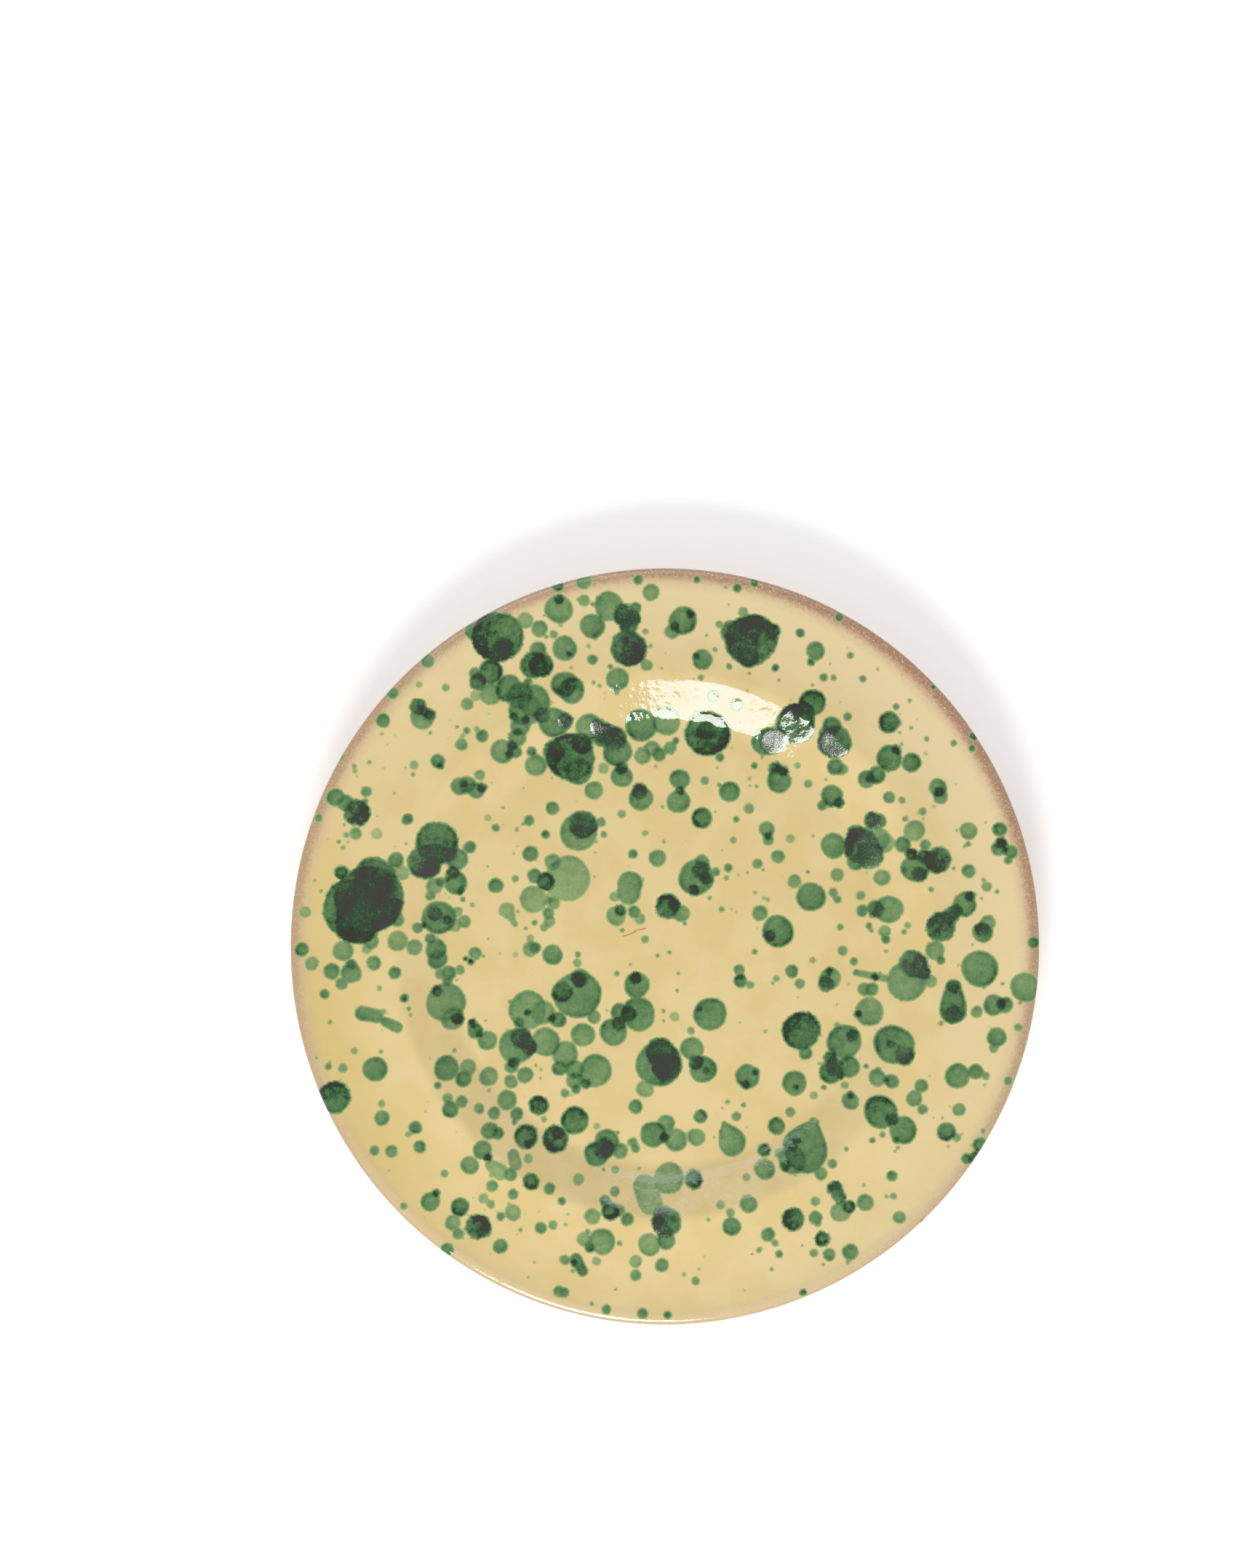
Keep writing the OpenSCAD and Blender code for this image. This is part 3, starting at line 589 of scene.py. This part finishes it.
# %% [markdown]
# ## One skin, three glazes
# The face, the lip and the back are three coats that meet without a step. Cutting them from
# one skin and keeping the whole skin's normals makes the joins invisible, while each coat
# stays a piece of its own with its own material.
# %% Make the meshes
def new_object(name, points, faces, attributes=(), normals=None):
    """A smooth mesh object from points in mm."""
    mesh = bpy.data.meshes.new(name)
    mesh.from_pydata((points * MM).tolist(), [], [face for group in faces for face in group.tolist()])
    mesh.polygons.foreach_set("use_smooth", [True] * len(mesh.polygons))
    for title, values in attributes:
        layer = mesh.attributes.new(title, "FLOAT_VECTOR", "POINT")
        layer.data.foreach_set("vector", np.ascontiguousarray(values, np.float32).ravel())
    if normals is not None:
        mesh.normals_split_custom_set_from_vertices(normals.tolist())
    made = bpy.data.objects.new(name, mesh)
    bpy.context.collection.objects.link(made)
    print(name, len(mesh.vertices), "points", len(mesh.polygons), "faces")
    return made


whole = bpy.data.meshes.new("whole")
all_faces = ring_faces(ring_counts)
centre = len(skin)
first = np.arange(ring_counts[0])
cap = np.stack([np.full(len(first), centre), first, (first + 1) % len(first)], 1)
points = np.vstack([skin, [[0, 0, skin[first, 2].mean()]]])
whole.from_pydata(
    (points * MM).tolist(), [], [f for group in [*all_faces, cap] for f in group.tolist()]
)
normals = np.zeros(len(points) * 3, np.float32)
whole.vertex_normals.foreach_get("vector", normals)
normals = normals.reshape(-1, 3)
bpy.data.meshes.remove(whole)
print("the centre faces up:", normals[-1][2] > 0.99)

# %% [markdown]
# Where the coats part is where the real ones do: the face glaze ends where the slip ends, and
# the lip's band wraps over the edge to the back. Each coat takes its rings and their values.
# %% Cut the skin into coats
def coat(name, first_ring, last_ring, with_centre=False):
    """The part of the skin between two rings, as a piece."""
    keep = (ring_of >= first_ring) & (ring_of <= last_ring)
    counts = ring_counts[first_ring : last_ring + 1]
    faces = ring_faces(counts)
    used = np.flatnonzero(keep)
    if with_centre:
        faces = faces + [np.where(cap == centre, len(used), cap)]
        used = np.append(used, centre)
    rows = np.minimum(used, len(skin) - 1)
    on_ring = (used < len(skin))[:, None]
    shown = [(f"splash_{i}", np.where(on_ring, splash[i][rows], splash[i][0])) for i in range(LAYERS)]
    shown.append(("lip", lip[rows]))
    return new_object(name, points[used], faces, shown, normals[used])


BACK_BAND = 7
band_ring = int(np.searchsorted(face_r, BAND_R))
back_ring = len(face_r) + len(lip_r) + int(np.searchsorted(-back_r, BACK_BAND - PLATE_R))
face = coat("face_glaze_skin", 0, band_ring, with_centre=True)
lip_band = coat("lip_glaze_band", band_ring, back_ring)
back = coat("back_glaze_skin", back_ring, len(ring_r) - 1)


# %% [markdown]
# ## A short way to write materials
# Shader nodes are maths with wires. This small class lets us write the maths as plain calls:
# each call makes one node, plugs in numbers or other nodes' results, and returns its output.
# %% Material helper
class Shade:
    """A material whose nodes are made by calls."""

    def __init__(self, name):
        self.material = bpy.data.materials.new(name)
        self.material.use_nodes = True
        self.tree = self.material.node_tree
        self.surface = self.tree.nodes["Principled BSDF"]

    def put(self, socket, value):
        if isinstance(value, bpy.types.NodeSocket):
            self.tree.links.new(value, socket)
        elif value is not None:
            socket.default_value = value

    def math(self, operation, *values, clamp=False):
        node = self.tree.nodes.new("ShaderNodeMath")
        node.operation, node.use_clamp = operation, clamp
        for socket, value in zip(node.inputs, values):
            self.put(socket, value)
        return node.outputs[0]

    def add(self, a, b):
        return self.math("ADD", a, b)

    def times(self, a, b):
        return self.math("MULTIPLY", a, b)

    def step(self, value, low, high, start=0.0, end=1.0):
        node = self.tree.nodes.new("ShaderNodeMapRange")
        node.interpolation_type = "SMOOTHSTEP"
        for socket, given in zip(node.inputs[:5], (value, low, high, start, end)):
            self.put(socket, given)
        return node.outputs[0]

    def place(self):
        """The point in millimetres, in the object's own space."""
        coordinates = self.tree.nodes.new("ShaderNodeTexCoord")
        node = self.tree.nodes.new("ShaderNodeVectorMath")
        node.operation = "MULTIPLY"
        self.put(node.inputs[0], coordinates.outputs["Object"])
        node.inputs[1].default_value = [1 / MM] * 3
        return node.outputs[0]

    def noise(self, size, detail=2.0, rough=0.5):
        """Cloudy noise round 0.5, with lumps of about that size in mm."""
        node = self.tree.nodes.new("ShaderNodeTexNoise")
        self.put(node.inputs["Vector"], self.place())
        node.inputs["Scale"].default_value = 1 / size
        node.inputs["Detail"].default_value = detail
        node.inputs["Roughness"].default_value = rough
        return node.outputs["Fac"]

    def dots(self, size):
        """Distance to the nearest of scattered points about that far apart in mm."""
        node = self.tree.nodes.new("ShaderNodeTexVoronoi")
        self.put(node.inputs["Vector"], self.place())
        node.inputs["Scale"].default_value = 1 / size
        return node.outputs["Distance"]

    def split(self, vector):
        node = self.tree.nodes.new("ShaderNodeSeparateXYZ")
        self.put(node.inputs[0], vector)
        return node.outputs[0], node.outputs[1], node.outputs[2]

    def attribute(self, name):
        node = self.tree.nodes.new("ShaderNodeAttribute")
        node.attribute_name = name
        return self.split(node.outputs["Vector"])

    def mix(self, share, a, b):
        node = self.tree.nodes.new("ShaderNodeMix")
        node.data_type = "RGBA"
        self.put(node.inputs["Factor"], share)
        self.put(node.inputs["A"], a)
        self.put(node.inputs["B"], b)
        return node.outputs["Result"]

    def ramp(self, value, stops):
        node = self.tree.nodes.new("ShaderNodeValToRGB")
        self.put(node.inputs[0], value)
        elements = node.color_ramp.elements
        for _ in stops[2:]:
            elements.new(0.5)
        for element, (at, shade) in zip(elements, stops):
            element.position = at
            element.color = shade
        return node.outputs["Color"]

    def bump(self, height, depth_mm, below=None):
        """Fine relief of that depth, laid over an earlier one."""
        node = self.tree.nodes.new("ShaderNodeBump")
        node.inputs["Distance"].default_value = depth_mm * MM
        self.put(node.inputs["Height"], height)
        self.put(node.inputs["Normal"], below)
        return node.outputs["Normal"]

    def finish(self, color, roughness, normal=None, specular=0.5):
        self.put(self.surface.inputs["Base Color"], color)
        self.put(self.surface.inputs["Roughness"], roughness)
        self.put(self.surface.inputs["Normal"], normal)
        self.put(self.surface.inputs["Specular IOR Level"], specular)
        return self.material


def paint(red, green, blue):
    """A colour given as screen values from 0 to 255, as the linear values that shaders use."""
    share = [v / 255 for v in (red, green, blue)]
    return (*[((v + 0.055) / 1.055) ** 2.4 if v > 0.04045 else v / 12.92 for v in share], 1.0)


# %% [markdown]
# ## The splashed glaze
# Where copper glaze lies, light passes it twice, so two drops one over the other let through
# the product of what each lets through. The material does just that: it multiplies what every
# layer lets through and looks up a colour for the total, from yellow-green through deep green to
# the brown black of glaze so loaded with copper that it comes out of the kiln dull and crusted.
# %% Colours of the glaze
STRAW = paint(221, 197, 137)
STRAW_PALE = paint(226, 203, 148)
STRAW_AMBER = paint(214, 188, 116)
GREENS = [
    (0.0, paint(200, 194, 135)), (0.14, paint(166, 177, 119)), (0.30, paint(140, 162, 106)),
    (0.42, paint(121, 148, 97)), (0.55, paint(100, 136, 87)), (0.68, paint(86, 124, 76)),
    (0.80, paint(70, 109, 64)), (0.89, paint(49, 87, 49)), (0.955, paint(32, 60, 35)),
    (1.0, paint(50, 47, 41)),
]
# A painted sky reflection for the glaze near the lip.
STRAW_SKY_REFLECTION = paint(228, 207, 163)
PAINTED_GLINT = paint(240, 222, 204)
EDGE_BROWN = paint(170, 129, 100)
EDGE_ROSE = paint(206, 178, 143)
EDGE_TAN = paint(203, 184, 152)
EDGE_SHADE = paint(174, 158, 128)
GLEAM_STRAW = (0.3, 0.45, 0.64, 1.0)
GLEAM_COPPER = (1.0, 1.0, 1.0, 1.0)

# %% [markdown]
# Inside a drop the tone is never flat. Clouds of noise stand for glaze that ran thick and thin, a
# thin ring at the edge is darker where the drop dried first, and the darkest drops are frayed
# and crusted. Painting each drop by hand would do too, but a rule gives hundreds at once.
# %% What the copper layers let through
def copper(s):
    """Total depth of copper from 0 to 1, and how crusted it is."""
    fine = s.noise(0.8, 3.0, 0.6)
    lumps = s.noise(1.8, 2.0)
    clouds = s.noise(2.6, 3.0, 0.6)
    patches = s.step(s.noise(7.0, 2.0), 0.38, 0.6, 0.935, 1.01)
    through, crust = 1.0, 0.0
    for number in range(LAYERS):
        distance, depth, pooled = s.attribute(f"splash_{number}")
        heavy = s.step(depth, 0.88, 0.97)
        frayed = s.step(depth, 0.74, 0.88, 0.0, 1.4)
        sway = s.add(s.times(s.add(fine, -0.5), 0.8), s.times(s.add(lumps, -0.5), frayed))
        edge = s.add(distance, sway)
        cover = s.step(edge, -0.65, 0.9)
        rim = s.times(s.step(edge, 0.0, 0.6), s.step(edge, 0.6, 2.6, 1.0, 0.0))
        cloud = s.add(0.52, s.times(clouds, 0.85))
        cloud = s.add(cloud, s.times(rim, s.add(0.2, s.times(heavy, -0.2))))
        cloud = s.times(cloud, s.add(1.0, s.times(pooled, 0.2)))
        stop = s.times(s.times(cover, depth), cloud)
        through = s.times(through, s.math("SUBTRACT", 1.0, stop, clamp=True))
        crust = s.math("MAXIMUM", crust, s.times(heavy, s.step(edge, 0.0, 1.2)))
    grain = s.times(s.add(s.noise(0.75, 3.0, 0.8), -0.5), 1.3)
    total = s.times(s.math("SUBTRACT", 1.0, through), patches)
    total = s.add(total, s.times(grain, s.times(total, s.add(1.15, s.times(total, -0.85)))))
    return s.math("MULTIPLY", total, 1.0, clamp=True), crust


# %% [markdown]
# A hair from the brush burnt away in the kiln and left a thin red-brown line near the middle.
# It is finer than the mesh, so the material measures its own distance to the line.
# %% The burnt hair
HAIR_FROM, HAIR_TO = Vector((-15.0, 3.3, 0.0)), Vector((-7.0, 6.2, 0.0))
HAIR_BROWN = paint(166, 98, 52)


def line_mark(s, color):
    """The colour with the hair's line laid over it."""
    x, y, _ = s.split(s.place())
    way = HAIR_TO - HAIR_FROM
    along_x, along_y = s.add(x, -HAIR_FROM.x), s.add(y, -HAIR_FROM.y)
    dot = s.add(s.times(along_x, way.x), s.times(along_y, way.y))
    t = s.math("MULTIPLY", dot, 1 / way.length_squared, clamp=True)
    off_x = s.math("SUBTRACT", along_x, s.times(t, way.x))
    off_y = s.math("SUBTRACT", along_y, s.times(t, way.y))
    bend = s.times(s.add(s.noise(3.0), -0.5), 1.6)
    gap = s.math("SQRT", s.add(s.times(off_x, off_x), s.math("POWER", s.add(off_y, bend), 2.0)))
    return s.mix(s.step(gap, 0.4, 0.12, 0.0, 0.7), color, HAIR_BROWN)

# %% [markdown]
# The glaze is then put together from the inside out: straw yellow in slow clouds, paler towards
# the lip as a painted reflection of the sky, rose and brown where the clay is bare, broadest on the
# side away from the key window as painted shade, the outer edge darkened as painted shade too,
# painted glints on the bare clay, and the copper over all of it. A shallow bump keeps the
# reflections as uneven as on fired glaze. Clear glaze really mirrors white. Here the straw part's
# reflection is dimmed and tinted blue all the same, a choice for the look, because at full
# strength the highlight came out too bright and yellow.
# %% Put the glaze together
def glaze(name):
    """Straw glaze over slip with copper splashes, and the bare brown lip."""
    s = Shade(name)
    edge, bare_and_shade, amber = s.attribute("lip")
    base = s.mix(s.step(s.noise(16, 3.0), 0.35, 0.65), STRAW, STRAW_PALE)
    base = s.mix(s.times(amber, s.step(edge, 34, 8, 0.0, 0.6)), base, STRAW_AMBER)
    frayed = s.add(edge, s.times(s.add(s.noise(1.6, 4.0, 0.7), -0.5), 3.4))
    # The bare clay band widens with the side weight; its extra breadth and brown away from the key
    # window is painted shade.
    past = s.math("SUBTRACT", frayed, s.add(2.2, s.times(bare_and_shade, 2.4)))
    rosy = s.step(past, -1.0, 4.5, 1.0, 0.0)
    brown = s.step(past, -2.0, 1.4, 1.0, 0.0)
    # Painted reflection: a paler veil of sky light on the glaze towards the lip, strongest on the bare
    # side and none where it is amber.
    sky_reflection = s.times(s.step(edge, 38, 14), s.add(0.15, s.times(bare_and_shade, 0.65)))
    sky_reflection = s.times(sky_reflection, s.math("SUBTRACT", 1.0, amber))
    base = s.mix(sky_reflection, base, STRAW_SKY_REFLECTION)
    base = s.mix(s.times(rosy, s.add(0.5, s.times(bare_and_shade, 0.3))), base, s.mix(bare_and_shade, EDGE_TAN, EDGE_ROSE))
    # Painted shade: the outermost millimetre and a half of the lip is darkened, less where the clay is
    # bare.
    lip_edge_shade = s.times(s.step(edge, 1.5, 0.3, 0.0, 0.8), s.math("SUBTRACT", 1.0, bare_and_shade))
    base = s.mix(lip_edge_shade, base, EDGE_SHADE)
    browned = s.times(brown, s.add(0.1, s.times(bare_and_shade, 0.9)))
    patchy = s.step(s.noise(0.9, 3.0, 0.7), 0.3, 0.6, 0.55, 1.0)
    base = s.mix(s.times(browned, patchy), base, EDGE_BROWN)
    # Painted glints: pale specks on the brown bare clay stand for light caught by its grit.
    near = s.dots(1.1)
    base = s.mix(s.times(browned, s.step(near, 0.22, 0.12)), base, PAINTED_GLINT)
    total, crust = copper(s)
    color = line_mark(s, s.mix(s.step(total, 0.0, 0.2), base, s.ramp(total, GREENS)))
    ripple = s.bump(s.noise(7.0, 2.0), 0.1)
    peel = s.bump(s.noise(2.4, 2.0, 0.5), 0.1, ripple)
    grit = s.times(s.noise(0.6, 3.0, 0.7), s.add(crust, s.times(browned, 0.6)))
    normal = s.bump(grit, 0.09, peel)
    rough = s.add(0.05, s.times(crust, 0.06))
    rough = s.add(rough, s.times(browned, 0.16))
    gleam = s.mix(s.step(total, 0.1, 0.45), GLEAM_STRAW, GLEAM_COPPER)
    s.put(s.surface.inputs["Specular Tint"], s.mix(s.step(edge, 6.0, 3.0), gleam, GLEAM_COPPER))
    return s.finish(color, rough, normal, specular=s.add(0.5, s.times(crust, 0.4)))


face_look = glaze("honey_glaze_look")
lip_look = glaze("lip_glaze_look")
face.data.materials.append(face_look)
lip_band.data.materials.append(lip_look)
print("glaze nodes:", len(face_look.node_tree.nodes))


# %% [markdown]
# ## The back, the clay and the foot
# The back had no slip, so the same glaze looks brown over red clay. The foot ring and the
# recess inside it were wiped clean before firing and turned on the wheel: bare clay with fine
# grooves that run round. We turn those two as pieces of their own, grooves included.
# %% Turned pieces
def turned(name, outline_points, count=360):
    """A closed ring or disc made by turning an outline of (radius, height) points."""
    radii, heights = np.array(outline_points, float).T
    around = np.arange(count) * 2 * math.pi / count
    grid_r, grid_a = np.repeat(radii, count), np.tile(around, len(radii))
    x, y, z = hand_made(grid_r, np.repeat(heights, count), grid_a, ringed=0)
    return new_object(name, np.stack([x, y, z], 1), ring_faces([count] * len(radii)))


def grooves(start, end, height, pitch, deep):
    """Points across a flat turned face with fine round-bottomed grooves."""
    steps = np.linspace(start, end, max(4, round(abs(end - start) / pitch * 6)))
    return [(r, height + deep * math.sin(2 * math.pi * r / pitch)) for r in steps]


FOOT_W = 8.0
FOOT_IN = FOOT_R - FOOT_W
foot_outline = grooves(FOOT_R - 1.6, FOOT_IN + 1.6, 0.05, 2.1, 0.04)
foot_outline += [(FOOT_IN + 0.7, 0.5), (FOOT_IN + 0.3, 1.5), (FOOT_IN, FOOT_H)]
foot_outline += [(FOOT_R, FOOT_H), (FOOT_R - 0.5, 1.5), (FOOT_R - 0.8, 0.5)]
foot_outline += foot_outline[:1]
foot = turned("foot_ring_turned", foot_outline)
SLIP_TOP, SLIP_UNDER = 0.5, 0.9
slip_outline = [(r, z - SLIP_TOP) for r, z in zip(face_r[::4], face_z[::4]) if r < BAND_R]
slip_outline += [(r, z + SLIP_TOP - SLIP_UNDER) for r, z in slip_outline[::-1]]
slip = turned("slip_coat_turned", slip_outline + slip_outline[:1])
CLAY_FROM, CLAY_TO = 80, 131
clay_outline = grooves(0.4, FOOT_R + 3, FOOT_H, 3.4, 0.05)
clay_outline += [
    (r + 0.1, z + 0.5) for r, z in zip(back_r[::-1], back_z[::-1]) if CLAY_FROM < r < CLAY_TO
]
clay_outline += [(r, z - SLIP_UNDER) for r, z in zip(face_r[::-4], face_z[::-4]) if r < CLAY_TO]
clay = turned("clay_body_turned", clay_outline)

# %% [markdown]
# Fired clay is chalky: no gloss at all, soft clouds of lighter and darker red, and pale grains of
# sand. Glaze laid straight on it has no white slip behind it, so it looks like dark honey.
# %% Bare clay and the brown back
SAND = paint(236, 214, 188)
HONEY_DARK, HONEY_LIGHT = paint(184, 138, 90), paint(214, 176, 122)
IRON_SPOT = paint(120, 78, 50)


def bare_clay(name, light, dark):
    """Fired red clay, wiped by a sponge: chalky, with sandy specks."""
    s = Shade(name)
    color = s.mix(s.step(s.noise(9.0, 4.0, 0.6), 0.35, 0.68), dark, light)
    near = s.dots(1.4)
    color = s.mix(s.step(near, 0.16, 0.1, 0.0, 0.35), color, SAND)
    normal = s.bump(s.noise(0.5, 3.0, 0.7), 0.06)
    return s.finish(color, s.add(0.72, s.times(s.noise(4.0), 0.2)), normal, specular=0.3)


def back_look(name):
    """Honey glaze straight on red clay, with paler clouds where it lies thick."""
    s = Shade(name)
    cloud = s.step(s.noise(14.0, 4.0, 0.6), 0.35, 0.7)
    color = s.mix(cloud, HONEY_DARK, HONEY_LIGHT)
    edge, _, _ = s.attribute("lip")
    color = s.mix(s.step(edge, -9, -3, 0.0, 0.7), color, EDGE_BROWN)
    near = s.dots(2.6)
    color = s.mix(s.step(near, 0.12, 0.07, 0.0, 0.5), color, IRON_SPOT)
    normal = s.bump(s.noise(5.0, 3.0), 0.08)
    return s.finish(color, 0.16, normal)


back.data.materials.append(back_look("back_glaze_look"))
clay.data.materials.append(bare_clay("clay_look", paint(190, 132, 98), paint(168, 108, 78)))
foot.data.materials.append(bare_clay("foot_clay_look", paint(182, 122, 90), paint(158, 100, 72)))
slip.data.materials.append(bare_clay("slip_look", paint(240, 226, 196), paint(228, 210, 176)))

# %% [markdown]
# ## Which piece stands for what
# Each piece rides on the plate's one body, and the CAD parts it stands for are hidden. The drops
# are part of the face skin, because in the kiln they melted into it.
# %% Tie the pieces to the CAD model
PIECES = [
    (face, "honey_glaze", ["face_glaze", "dark_pools", "green_pools", "green_drops", "green_specks"]),
    (lip_band, "lip_glaze", ["lip_glaze"]),
    (back, "back_glaze", ["back_glaze"]),
    (slip, "slip", ["slip_coat"]),
    (clay, "clay", ["clay_body"]),
    (foot, "foot_clay", ["foot_ring"]),
]
for piece, slot_name, nodes in PIECES:
    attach(piece, "root")
    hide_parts(*nodes)
print("pieces tied:", len(PIECES))

# %% [markdown]
# ## Table, light and camera
# The plate lies on a plain white table. The table glows a little, and more so far off, where it
# would turn grey in a low view. A real table doesn't glow: this stands in for a studio's lamps.
# %% Table
TABLE_SIZE = 30.0
TABLE_Z = -0.0001
GLOW_NEAR, GLOW_FAR = 0.25, 0.5
bpy.ops.mesh.primitive_plane_add(size=TABLE_SIZE, location=(0, 0, TABLE_Z))
table = bpy.context.object
table.name = "table_top"
white = Shade("table_white")
white.surface.inputs["Emission Color"].default_value = (1.0, 1.0, 1.0, 1.0)
east, north, _ = white.split(white.place())
away = white.math("SQRT", white.add(white.times(east, east), white.times(north, north)))
glow = white.step(away, 450, 1500, GLOW_NEAR, GLOW_FAR)
white.put(white.surface.inputs["Emission Strength"], glow)
table.data.materials.append(white.finish(paint(250, 249, 248), 0.8, specular=0.2))

# %% [markdown]
# Glaze shows what it reflects, so the lights are chosen by the marks they leave. A soft window
# beyond the near edge draws the bright crescent on the far wall and the line on the near lip. A
# faint cool one beyond the far edge lays a veil on the near wall. An even white sky, brighter
# at its sides, fills the rest. Area lights are used because their size is the highlight's size.
# %% Lights
def window(name, azimuth, zenith, away, wide, tall, power, tint):
    """A soft oval light that looks at the plate's centre."""
    lamp = bpy.data.lights.new(name, "AREA")
    lamp.shape, lamp.size, lamp.size_y = "ELLIPSE", wide, tall
    lamp.energy, lamp.color = power, tint
    thing = bpy.data.objects.new(name, lamp)
    turn_z, lean = math.radians(azimuth), math.radians(zenith)
    flat = math.sin(lean)
    way_out = Vector((flat * math.cos(turn_z), flat * math.sin(turn_z), math.cos(lean)))
    thing.location = away * way_out
    thing.rotation_euler = (-thing.location).to_track_quat("-Z", "Y").to_euler()
    bpy.context.collection.objects.link(thing)
    return thing


window("key_window", 259.5, 50, 1.4, 0.68, 0.42, 12.4, (1.0, 0.985, 0.96))
window("cool_window", 97, 50, 1.4, 1.7, 0.5, 5.6, (0.8, 0.89, 1.0))
world = bpy.data.worlds.new("even_sky")
bpy.context.scene.world = world
world.use_nodes = True
SKY_TOP, SKY_SIDE = 0.35, 0.87
sky = world.node_tree.nodes
way = sky.new("ShaderNodeTexCoord")
parts = sky.new("ShaderNodeSeparateXYZ")
fade = sky.new("ShaderNodeMapRange")
for socket, value in zip(fade.inputs[1:5], (0.0, 1.0, SKY_SIDE, SKY_TOP)):
    socket.default_value = value
world.node_tree.links.new(way.outputs["Generated"], parts.inputs[0])
world.node_tree.links.new(parts.outputs[2], fade.inputs[0])
world.node_tree.links.new(fade.outputs[0], sky["Background"].inputs[1])
sky["Background"].inputs[0].default_value = (1.0, 0.995, 0.985, 1.0)

# %% [markdown]
# The camera looks straight down from a metre up. A lens is a ratio of sensor to view, so asking
# for the height of table that it takes in gives its focal length.
# %% Camera
CAMERA_UP = 1.0
VIEW_TALL = 0.5615
AIM_X, AIM_Y = -0.0134, 0.0583
camera = bpy.data.objects.new("camera", bpy.data.cameras.new("camera"))
camera.location = (AIM_X, AIM_Y, CAMERA_UP + PLATE_H * MM)
camera.data.sensor_width = 36.0
camera.data.lens = camera.data.sensor_width * CAMERA_UP / VIEW_TALL
bpy.context.collection.objects.link(camera)
bpy.context.scene.camera = camera
bpy.context.scene.view_settings.view_transform = "Standard"
